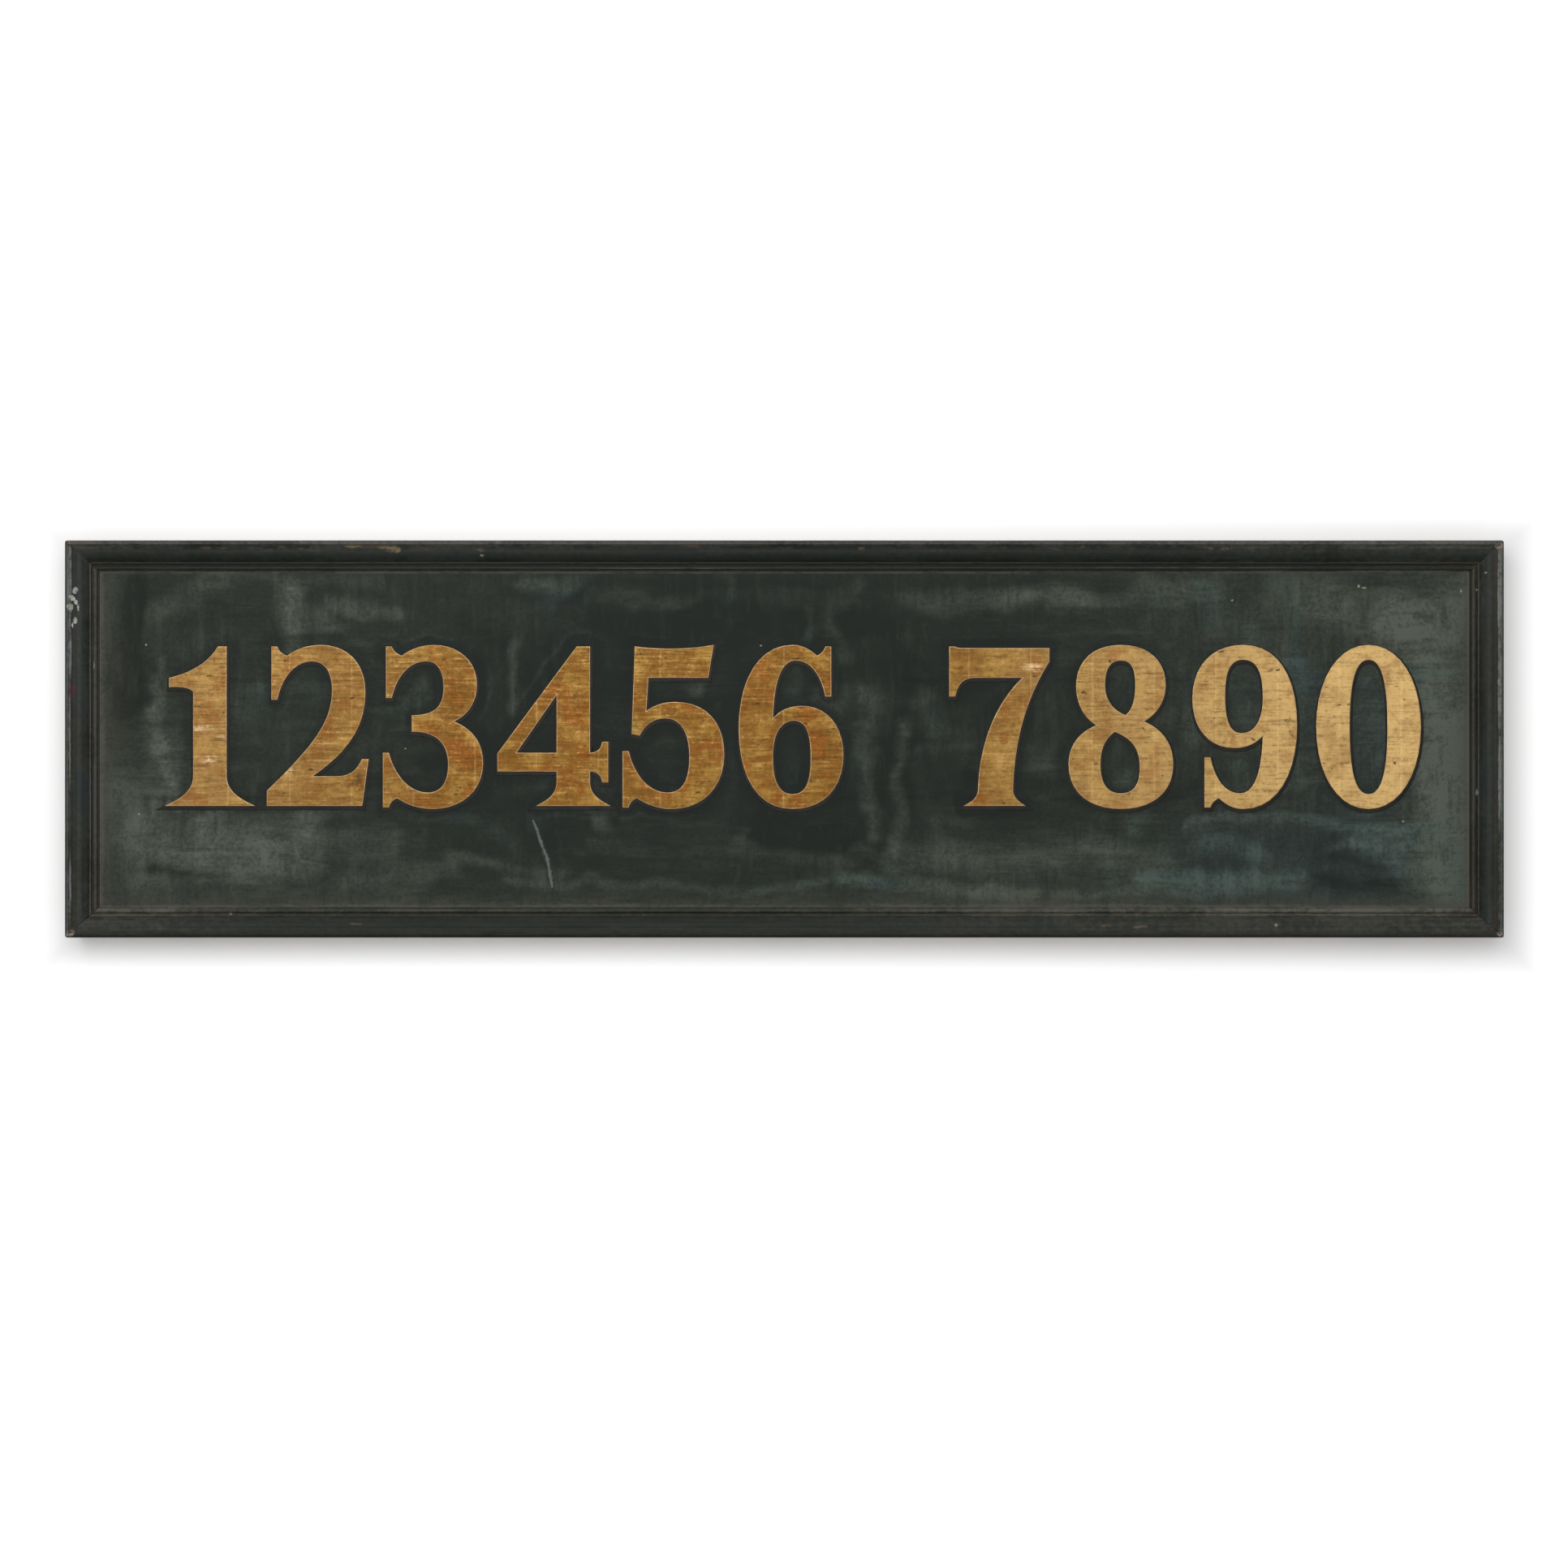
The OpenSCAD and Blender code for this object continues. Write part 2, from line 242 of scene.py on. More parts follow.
# Paint of the moulded frame: near black green, rubbed grey on its arrises, partly as a painted highlight
# there, brown where the wood shows. A tone is how pale a side's paint has faded, and also painted light: each
# side is made paler or darker as the light falls on it. Settled dust, which also lifts shaded hollows and
# slopes as painted light, has how much lies across the moulding, in millimetres from its outer edge, and its
# runs along the
# side: middle, reach, more or less. The outer and inner rubs are painted highlight as well as wear. A mark is
# the x and z of its middle, its half width and its half height, in millimetres.
framePaint = {
    "paint": (0.008, 0.0122, 0.0092),
    "faded": (0.032, 0.0385, 0.033),
    "bluish": (0.017, 0.0225, 0.0265),
    "brownish": (0.033, 0.0325, 0.025),
    "rubbed": (0.15, 0.156, 0.145),
    "dust": (0.05, 0.0495, 0.037),
    "settled": (0.12, 0.118, 0.098),
    "brown": (0.056, 0.034, 0.017),
    "scuffed": (0.095, 0.088, 0.07),
    "wood": ((0.19, 0.135, 0.088), (0.075, 0.05, 0.034)),
    "quirkShadeAndRust": ((0.007, 0.007, 0.005), (0.034, 0.017, 0.0085)),
    "besideMitre": (0.062, 0.064, 0.054),
    "joint": (0.004, 0.0035, 0.003),
    "bareBack": ((0.24, 0.158, 0.09), (0.12, 0.076, 0.044)),
    "roughness": (0.48, 0.7),
    "gloss": 0.16,
    "relief": 0.0006,
    "sides": {
        "frameRailTop": {
            "tone": 0.22, "outerRub": 0.62, "innerRub": 0.08, "groove": 0.15, "dust": 0.5, "upward": 0.4,
            "scuff": 1, "brown": 0.05,
            "across": [(0, 0.3), (8, 0.3), (12, 0.05), (20, 0.04), (23.5, 0.07), (25.5, 0.15), (27, 0.08),
                       (28.5, 0.02), (36.6, 0.02), (37.2, 0.5), (38, 0.5)],
            "runs": [(0, 5000, 0.75), (40, 90, -0.6), (-150, 60, -0.2), (800, 170, 1.25), (-885, 50, 0.9),
                     (-500, 120, 0.25), (600, 60, 0.3)],
        },
        "frameRailBottom": {
            "tone": 0.03, "outerRub": 0.05, "innerRub": 0.3, "groove": 0, "dust": 2.6, "upward": 1,
            "scuff": 0.15, "brown": 0.06,
            "across": [(0, 0.06), (7, 0.12), (11, 0.27), (20, 0.26), (26, 0.3), (28.5, 0.8), (38, 0.78)],
            "runs": [(0, 5000, 0.06), (230, 160, 0.16), (400, 200, 0.36), (720, 260, 0.8), (870, 60, 0.55),
                     (-820, 130, 0.78), (-890, 40, 0.25), (-560, 60, 0.12)],
        },
        "frameStileLeft": {
            "tone": 0.66, "outerRub": 0.72, "innerRub": 0.85, "groove": 0.5, "dust": 1.8, "upward": 1,
            "scuff": 0.45, "brown": 0.36,
            "across": [(0, 0), (20, 0), (24, 0.1), (27.3, 0.13), (28.5, 0), (38, 0)],
            "runs": [(0, 5000, 1), (-225, 30, 0.5)],
        },
        "frameStileRight": {
            "tone": 0.56, "outerRub": 0.95, "innerRub": 0.72, "groove": 0.9, "dust": 0.9, "upward": 1,
            "scuff": 0.3, "brown": 0.45,
            "across": [(0, 0.2), (5, 0.14), (9, 0.03), (20, 0), (24, 0.08), (27.3, 0.1), (28.5, 0), (38, 0)],
            "runs": [(0, 5000, 0.7), (225, 70, 1.3)],
        },
    },
    "woodMarks": [
        (-520, 246, 30, 2), (-450, 246, 26, 1.6), (-388, 241, 5, 2.4), (-117, 246, 14, 2.6),
        (98, 243, 6, 2.6), (278, 244, 5, 2.4), (379, 245, 4, 2.2), (540, 243, 8, 2.2), (562, 242, 10, 2),
        (590, 243, 7, 1.8), (650, 246, 10, 1.6), (-911, -249, 5, 5), (-905, -244, 4, 4), (910, 248, 6, 4),
        (-898, 249, 20, 2.2), (908, -248, 4, 3), (-910, 246, 3, 5), (-545, -236, 9, 2.4),
        (-180, -224, 3, 1.8), (98, -217, 6, 2.2), (410, -238, 9, 1.8), (452, -239, 13, 1.6),
        (-276, -219, 2.4, 2.4), (568, -247, 4, 2), (-911, -250, 6, 3.5), (-913, 250, 2.4, 5),
        (911, -250, 7, 3), (913, 244, 2.4, 7), (915, -2, 3, 26), (-915, -110, 2.4, 12), (-735, 243, 8, 2),
        (-712, 243, 6, 1.6), (-640, 244, 7, 1.8), (-598, 245, 9, 1.8),
    ],
    # other marks: how ragged they are, where they fade out and from what, and the grain that breaks them up
    "marks": {
        "tan": {
            "colour": (0.19, 0.148, 0.086), "ragged": (0.0034, 0.006, 0.4), "fade": (0.45, 1.1, 1),
            "broken": ("mixed", 0.86, 1.1, 0.25, 0.95),
            "at": [(-511, 244, 8, 4), (-500, 243, 12, 5), (-493, 241, 5, 5), (-548, 245, 14, 2.2)],
        },
        # pale lines along the stiles' outer arrises: rubbed paint and a painted highlight
        "rubbedEdgeAndHighlight": {
            "colour": (0.3, 0.306, 0.296), "ragged": (0.0008, 0.012), "fade": (0.7, 1.2, 0.75),
            "broken": ("fine", 0.36, 0.56, 0.3, 1.0), "frontOnly": True,
            "at": [(-908.1, 206, 1.7, 46), (-908.1, 118, 1.4, 44), (-908.3, 10, 0.6, 70),
                   (908.5, 186, 1.6, 56), (908.5, 70, 1.2, 64), (908.5, -50, 0.8, 60), (-908, -190, 0.9, 40)],
        },
        "scratch": {
            "colour": (0.12, 0.125, 0.1), "ragged": (0.0002, 0.02), "fade": (0.7, 1.1, 0.75),
            "broken": ("patches", 0.4, 0.52),
            "at": [(-430, -218.4, 104, 0.4), (-734, -215, 40, 0.5), (-691, -223.6, 32, 0.5),
                   (661, -215.2, 15, 0.55), (718, -215.2, 8, 0.7), (782, -216.5, 34, 0.5),
                   (840, -217, 7, 0.9), (640, -223.6, 120, 0.45), (820, -224.2, 50, 0.45),
                   (-160, 218.5, 130, 0.35), (520, 219, 150, 0.35), (200, -219, 60, 0.4),
                   (380, -223.6, 60, 0.35)],
        },
        "paleTip": {
            "colour": (0.33, 0.275, 0.235), "ragged": (0.0022, 0.004), "fade": (0.6, 1.1, 1),
            "broken": ("fine", 0.38, 0.56, 0.15, 0.9),
            "at": [(908, 246, 5, 5), (-907, -247, 6, 5), (909, -248, 4, 3)],
        },
        "whiteDrip": {
            "colour": (0.47, 0.49, 0.43), "ragged": (0.0024, 0.0045), "fade": (0.55, 1.1, 1),
            "broken": ("fine", 0.36, 0.54, 0.45, 1.0), "frontOnly": True,
            "at": [(-902.6, 189, 3.8, 4.4), (-907.4, 181, 2.4, 2.6), (-904.6, 177.8, 3, 3),
                   (-901.6, 174.4, 2.6, 3.4), (-907.8, 167.6, 3.4, 5.8), (-899, 167.5, 1.3, 5),
                   (-902.6, 150.8, 2.9, 4.6), (-905.4, 144.5, 1.1, 3.2)],
        },
        "pinkStain": {
            "colour": (0.095, 0.022, 0.035), "ragged": (0.003, 0.01), "fade": (0.3, 1.1, 0.55),
            "frontOnly": True,
            "at": [(-904, 66, 5, 5), (-906, 60, 4, 8)],
        },
        "paleSpeck": {
            "colour": (0.3, 0.31, 0.27), "ragged": (0.0014, 0.004), "fade": (0.4, 1.1, 0.75),
            "broken": ("fine", 0.38, 0.56, 0.35, 1.0),
            "at": [(885, -68, 2.2, 5), (885, 191, 2, 2), (-882, 95, 1.2, 6), (-708, -223, 2.2, 2.2),
                   (-385, 234, 3, 2.2), (626, -237, 2.4, 2.4), (894, 212, 1.4, 1.6)],
        },
    },
}


# The marks that reach one side of the frame; those at a corner belong to both of its sides.
def marksOn(name, marks):
    inX, inZ = sightX * 1000, sightZ * 1000
    reaches = {
        "frameRailTop": lambda x, z, wide, high: z + high > inZ,
        "frameRailBottom": lambda x, z, wide, high: z - high < -inZ,
        "frameStileLeft": lambda x, z, wide, high: x - wide < -inX,
        "frameStileRight": lambda x, z, wide, high: x + wide > inX,
    }
    return [mark for mark in marks if reaches[name](*mark)]


def makeFramePaint(name):
    look = framePaint
    tone, upward = look["sides"][name]["tone"], look["sides"][name]["upward"]
    paint = Paint("old paint " + name)
    streaks = paint.grain(0.0035, 4, 0.6, scale=(0.06, 1, 1) if "Rail" in name else (1, 1, 0.06))
    patches = paint.grain(0.09, 5, 0.6, 0.6)
    other = paint.grain(0.16, 4, 0.6, 0.5, shift=(3, 1, 2))
    fine = paint.grain(0.008, 6, 0.68)
    # fading is uneven, follows the brush and comes and goes along each side; the side's tone also makes it
    # paler or darker as painted light
    faded = (patches * 0.5 + (fine * 0.34 + streaks * 0.2)).span(0.38, 0.66, 0.35 * tone, 1.45 * tone)
    pale = other.span(0.4, 0.6).blend(look["brownish"], look["faded"])
    pale = patches.span(0.52, 0.66, 0, 0.8).blend(pale, look["bluish"])
    paint.colour = faded.blend(look["paint"], pale)
    # dust lies on what faces up and in the corners against the panel; on the upward faces it is also painted
    # light from above, and in the corners it lightens the shaded hollows as painted light
    dusty = paint.facing(2).span(0.3, 0.92) * (fine + streaks).span(0.75, 1.2, 0.35 * upward, 0.75 * upward)
    paint.coat(dusty, look["dust"])
    gathered = paint.painted("corner") * (fine + patches).span(0.85, 1.15, 0.25, 0.75)
    paint.coat(gathered.clamped(), look["dust"])
    # settled dust, and painted light that lifts the shaded hollows and slopes of the moulding
    settled = paint.painted("settled") * (streaks * 0.5 + (fine + patches)).span(1.02, 1.48, 0.35, 1.65)
    paint.coat(settled.clamped(), look["settled"])
    # painted shade darkens the quirks, with rusty brown dirt at the bottom and a painted shadow under the
    # bottom rail's lower edge
    paint.coat(paint.painted("groove") * 0.85, other.span(0.48, 0.6).blend(*look["quirkShadeAndRust"]))
    # scuffs along the outer edges, and brown dirt by the quirks and in the inner corners
    scuffing = paint.grain(0.007, 6, 0.7, scale=(0.22, 1, 1), shift=(6, 2, 1)) * 0.7 + other * 0.3
    scuffed = fine.span(0.4, 0.6).blend(look["faded"], look["scuffed"])
    paint.coat(paint.painted("scuff") * scuffing.span(0.53, 0.62), scuffed)
    dirt = paint.painted("brown") * (fine + other).span(0.85, 1.15, 0.35, 0.85)
    paint.coat(dirt.clamped(), look["brown"])
    # rubbed arrises, partly a painted highlight along them
    edge = paint.painted("arris")
    paint.coat(edge * (patches * 0.6 + fine * 0.6).span(0.42, 0.7, 0.22, 1.0), look["rubbed"])
    # bare wood at its marks and where the edges are most worn
    marks = paint.near(marksOn(name, look["woodMarks"]), 0.0034, 0.006, 0.35).span(0.35, 1.15, 0.9, 0)
    worn = edge * paint.grain(0.016, 5, 0.62, scale=(0.5, 1, 0.5), shift=(7, 3, 5)).span(0.6, 0.66)
    y = paint.along(1)
    onFront = (y + patches * 0.05).span(-0.02, -0.008, 1, 0)
    bare = (marks * onFront * fine.span(0.34, 0.54)).maths("MAXIMUM", worn)
    paint.coat(bare * 0.75, (streaks * 0.5 + fine * 0.5).span(0.38, 0.62).blend(*look["wood"]))
    # the mitres: a hairline, with rubbed paint beside it
    paint.coat(paint.painted("mitre") * (fine + patches).span(0.9, 1.15, 0.1, 0.75), look["besideMitre"])
    paint.coat(paint.painted("joint"), look["joint"])
    # the other marks, over everything else on the front
    front = y.span(-0.046, -0.036, 1, 0)
    grains = {"fine": fine, "patches": patches, "mixed": fine + streaks}
    for kind in look["marks"].values():
        spots = marksOn(name, kind["at"])
        if not spots:
            continue
        amount = paint.near(spots, *kind["ragged"]).span(*kind["fade"], 0)
        if "broken" in kind:
            which, *limits = kind["broken"]
            amount = amount * grains[which].span(*limits)
        if "frontOnly" in kind:
            amount = amount * front
        paint.coat(amount, kind["colour"])
    # the back of the frame was never painted
    unpainted = (y + fine * 0.002).span(-0.0199, -0.0181)
    unpainted = unpainted * (patches * 0.7 + fine * 0.3).span(0.55, 0.62, 1.0, 0.35)
    paint.coat(unpainted, streaks.span(0.3, 0.7).blend(*look["bareBack"]))
    rough = (patches + fine * 0.4).span(0.45, 0.95, *look["roughness"])
    rough = rough.maths("MAXIMUM", unpainted.maths("MAXIMUM", dusty.maths("MAXIMUM", bare)) * 0.8)
    return paint.finish(rough, look["gloss"], streaks * 0.5 + (fine * 0.5 - worn * 0.6), look["relief"])


# The moulding's section in millimetres: in from the outside, forward from the frame's back, and a radius.
# The sizes below it are in metres.
moulding = {
    "nose": (5.5, 38.0, 4.5),
    "cove": (12.5, 38.0, 7.0),
    "round": (12.5, 16.9, 14.1),
    "fillet": (28.4, 20.5),
    "bead": (33.4, 17.8, 3.4),
    "foot": (38.0, 17.6),
    "rebate": (26.0, 16.0),
    "dented": [3.2, 5.2, 27.9, 33.4],
    "frontFrom": 0.0165,
    "outsideFrom": 0.030,
    "cornerRound": 0.0042,
    "mitreRows": [0.0, 0.0005, 0.0016, 0.0030, 0.0055],
    "fromMitre": 0.007,
    "station": 0.004,
    "mitreOpen": 0.00035,
    "mitreRubbed": 0.002,
    "endRows": 0.02,  # what the close rows at both mitres take of a side's length
    "dents": (110, 1.8),  # how many, in what length
    "dentedFrom": 0.25,  # how rubbed an arris is before it shows dents
    "dentLength": (0.0012, 0.005),
    "dentDepth": (0.0002, 0.0008),
    "dentWidth": 0.0016,
    "outerRubTo": 0.015,
    "mitreRubbedFrom": 0.009,
    "cornerDirt": (0.9, 0.035),  # how much at the mitres, and how far it reaches
    "scuffed": 0.017,
    # painted shadow along the bottom rail's lower edge
    "shadowUnderEdge": (0.8, 0.0018),  # dark edge below the bottom rail: how much, how far in
    "warmEnd": (0.2, -0.62, -0.85, 0.022),  # brown on its left end: how much, its ends in x, how far in
    "smoothBelow": 38,  # degrees
    "seed": 11,
}


def arc(centre, radius, start, end, count):
    return [(centre[0] + radius * math.cos(math.radians(a)), centre[1] + radius * math.sin(math.radians(a)))
            for a in np.linspace(start, end, count)]


# Each point is (in, forward, rubbed arris with a painted highlight, dusty corner, painted shade and dirt in
# the groove).
def mouldingSection():
    s = moulding
    reach, top, noseRadius = s["nose"]
    points = [(0, v, 0, 0, 0) for v in (0, 12, 24)]
    noseWear = [0.1] * 5 + [0.25 + 0.1 * i for i in range(1, 5)]
    nose = arc((noseRadius, top - noseRadius), noseRadius, 180, 92, 9)
    points += [(u, v, wear, 0, 0) for (u, v), wear in zip(nose, noseWear)]
    points += [(reach - 0.45, top - 0.02, 0.9, 0, 0), (reach - 0.05, top - 0.35, 0.8, 0, 0),
               (reach + 0.12, top - 0.95, 0.3, 0, 0)]
    coveWear = [0.85, 0.75, 0.6, 0.35, 0.1] + [0] * 5
    points += [(u, v, wear, 0.15, 0 if wear else 0.25)
               for (u, v), wear in zip(arc(s["cove"][:2], s["cove"][2], 192, 262, 10), coveWear)]
    lastAngle = math.degrees(math.asin((s["fillet"][1] - s["round"][1]) / s["round"][2]))
    # the round's crest is made paler as if rubbed: a painted highlight
    roundRubAndHighlight = [0, 0.06, 0.13, 0.15, 0.13, 0.06] + [0] * 8
    points += [(u, v, wear, 0, 0)
               for (u, v), wear in zip(arc(s["round"][:2], s["round"][2], 90, lastAngle, 14), roundRubAndHighlight)]
    u, v = s["fillet"]
    footU, footV = s["foot"]
    points += [(u - 1.7, v, 0, 0.4, 0), (u - 0.35, v, 0.55, 0, 0), (u, v - 0.35, 0.4, 0, 0),
               (u, footV + 0.1, 0, 0.3, 1), (u + 1.5, footV, 0, 0.3, 1)]
    points += [(a, b, 0.28 if 60 < angle < 130 else 0, 0.3, 0) for (a, b), angle in
               zip(arc(s["bead"][:2], s["bead"][2], 176, 4, 13), np.linspace(176, 4, 13))]
    inU, inV = s["rebate"]
    points += [(footU - 1.1, footV, 0, 0.7, 0.7), (footU, footV, 0, 0.9, 0.4), (footU, inV, 0, 1, 0.4)]
    points += [(u, v, 0, 0, 0) for u, v in ((32, inV), (inU, inV), (inU, 8), (inU, 0), (13, 0))]
    return points


def makeFrameSide(name, length, reach, placed, seed):
    u, v, arris, corner, groove = (np.array(c, dtype=float) for c in zip(*mouldingSection()))
    u, v = u / 1000, v / 1000
    nu, nv = np.roll(v, 1) - np.roll(v, -1), np.roll(u, -1) - np.roll(u, 1)  # outward normal
    size = np.hypot(nu, nv) + 1e-9
    nu, nv = nu / size, nv / size
    half = length / 2
    # rows across the side: which end they are set out from, and how far from it or what share between
    ends, fromMitre = moulding["mitreRows"], moulding["fromMitre"]
    count = int((length - moulding["endRows"]) / moulding["station"])
    rows = [(1, e) for e in ends] + [(0, t) for t in np.linspace(0, 1, count)[1:-1]]
    rows += [(-1, e) for e in reversed(ends)]
    maker = np.random.default_rng(seed)
    dents = [(maker.uniform(-half, half), maker.choice(moulding["dented"]) / 1000,
              maker.uniform(*moulding["dentLength"]), maker.uniform(*moulding["dentDepth"]))
             for _ in range(int(moulding["dents"][0] * length / moulding["dents"][1]))]
    bend = moulding["cornerRound"]
    wear = framePaint["sides"][name]
    isBottom = name == "frameRailBottom"
    acrossAt, acrossHow = zip(*wear["across"])
    darkest, darkTo = moulding["shadowUnderEdge"]
    warmest, warmStart, warmFull, warmFrom = moulding["warmEnd"]
    dirtiest, dirtReach = moulding["cornerDirt"]
    vertices, worn = [], []
    for side, value in rows:
        for i in range(len(u)):
            low, high = u[i] - half, half - u[i]
            if side:
                x = low + value if side > 0 else high - value
            else:
                x = low + fromMitre + value * (high - low - 2 * fromMitre)
            front = v[i] > moulding["frontFrom"]
            atJoint = side and value == 0 and front
            drop = moulding["mitreOpen"] if atJoint else 0.0
            if arris[i] > moulding["dentedFrom"]:
                for dentX, dentU, dentSize, depth in dents:
                    away = ((x - dentX) / dentSize) ** 2 + ((u[i] - dentU) / moulding["dentWidth"]) ** 2
                    if away < 4:
                        drop += depth * math.exp(-away)
            across, forward = u[i] - nu[i] * drop, v[i] - nv[i] * drop
            # the outer corners are rubbed round
            a, b = half - abs(x), across
            away = math.hypot(bend - a, bend - b)
            if a < bend and b < bend and away > bend:
                a, b = bend - (bend - a) * bend / away, bend - (bend - b) * bend / away
                x, across = math.copysign(half - a, x), b
            vertices.append(placed(x, across, forward, reach))
            run = sum(amount * math.exp(-((x * 1000 - middle) / long) ** 2)
                      for middle, long, amount in wear["runs"])
            outside = v[i] > moulding["outsideFrom"]
            # a painted shadow along the bottom rail's lower outer edge
            shadowUnderEdge = darkest if isBottom and u[i] < darkTo and outside else 0.0
            isWarm = isBottom and u[i] > warmFrom
            warmEnd = warmest * float(smooth(warmStart, warmFull, x)) if isWarm else 0.0
            dirt = wear["brown"] + dirtiest * math.exp(-(half - u[i] - abs(x)) / dirtReach)
            byMitre = side and value < moulding["mitreRubbed"] and u[i] > moulding["mitreRubbedFrom"]
            # the rubs on the arrises are wear and painted highlight, set per side
            worn.append({
                "arris": arris[i] * wear["outerRub" if u[i] < moulding["outerRubTo"] else "innerRub"],
                "corner": corner[i] * wear["dust"],
                "settled": max(0.0, run) * np.interp(u[i] * 1000, acrossAt, acrossHow) if front else 0.0,
                "groove": max(shadowUnderEdge, groove[i] * wear["groove"]),
                "brown": max(warmEnd, max(corner[i], groove[i]) * dirt),
                "scuff": wear["scuff"] * max(0.0, 1.0 - u[i] / moulding["scuffed"]) if outside else 0.0,
                "joint": 1.0 if atJoint else 0.0,
                "mitre": 1.0 if byMitre and front else 0.0,
            })
    n, m = len(u), len(rows)
    faces = [(j * n + i, j * n + (i + 1) % n, (j + 1) * n + (i + 1) % n, (j + 1) * n + i)
             for j in range(m - 1) for i in range(n)]
    faces += [tuple(range(n)), tuple(reversed(range((m - 1) * n, m * n)))]
    piece = newObject(name, vertices, faces, makeFramePaint(name))
    builder = bmesh.new()
    builder.from_mesh(piece.data)
    bmesh.ops.recalc_face_normals(builder, faces=builder.faces[:])
    builder.to_mesh(piece.data)
    builder.free()
    shadeSmooth(piece, moulding["smoothBelow"])
    for key in worn[0]:
        setAttribute(piece, key, [values[key] for values in worn])
    return piece


def makeFrame():
    back = signSize["frameBack"]
    wide, high = signSize["halfWidth"], signSize["halfHeight"]
    sides = {
        "frameRailTop": ("rail_top", 2 * wide, high, lambda x, u, v, r: (x, back - v, r - u)),
        "frameRailBottom": ("rail_bottom", 2 * wide, high, lambda x, u, v, r: (x, back - v, u - r)),
        "frameStileLeft": ("stile_left", 2 * high, wide, lambda x, u, v, r: (u - r, back - v, x)),
        "frameStileRight": ("stile_right", 2 * high, wide, lambda x, u, v, r: (r - u, back - v, x)),
    }
    for number, (name, (node, length, reach, placed)) in enumerate(sides.items()):
        side = makeFrameSide(name, length, reach, placed, moulding["seed"] + number)
        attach(side, "root")
        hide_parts(node)
    print("frame sides made")


numerals = {
    "height": 0.2,
    "baseline": -0.0842,
    "groups": [("123456", -0.7885, 0.0745), ("7890", 0.2120, 0.8135)],
    "squeeze": 0.97,
    "rimWidth": 0.0011,
    "shadeWidth": 0.004,
    "shadeShift": (0.0006, -0.0024),
    "thickness": 0.0003,
    "drawnThickness": 0.0001,  # before it is flattened to the one above
    "curveSteps": 10,
    "rimSteps": 2,
    "measuredSteps": 18,  # points along a bend that the ground is measured from
    "standOff": {"leaf": 0.0010, "rim": 0.0008, "shade": 0.0005},  # in front of the panel
}

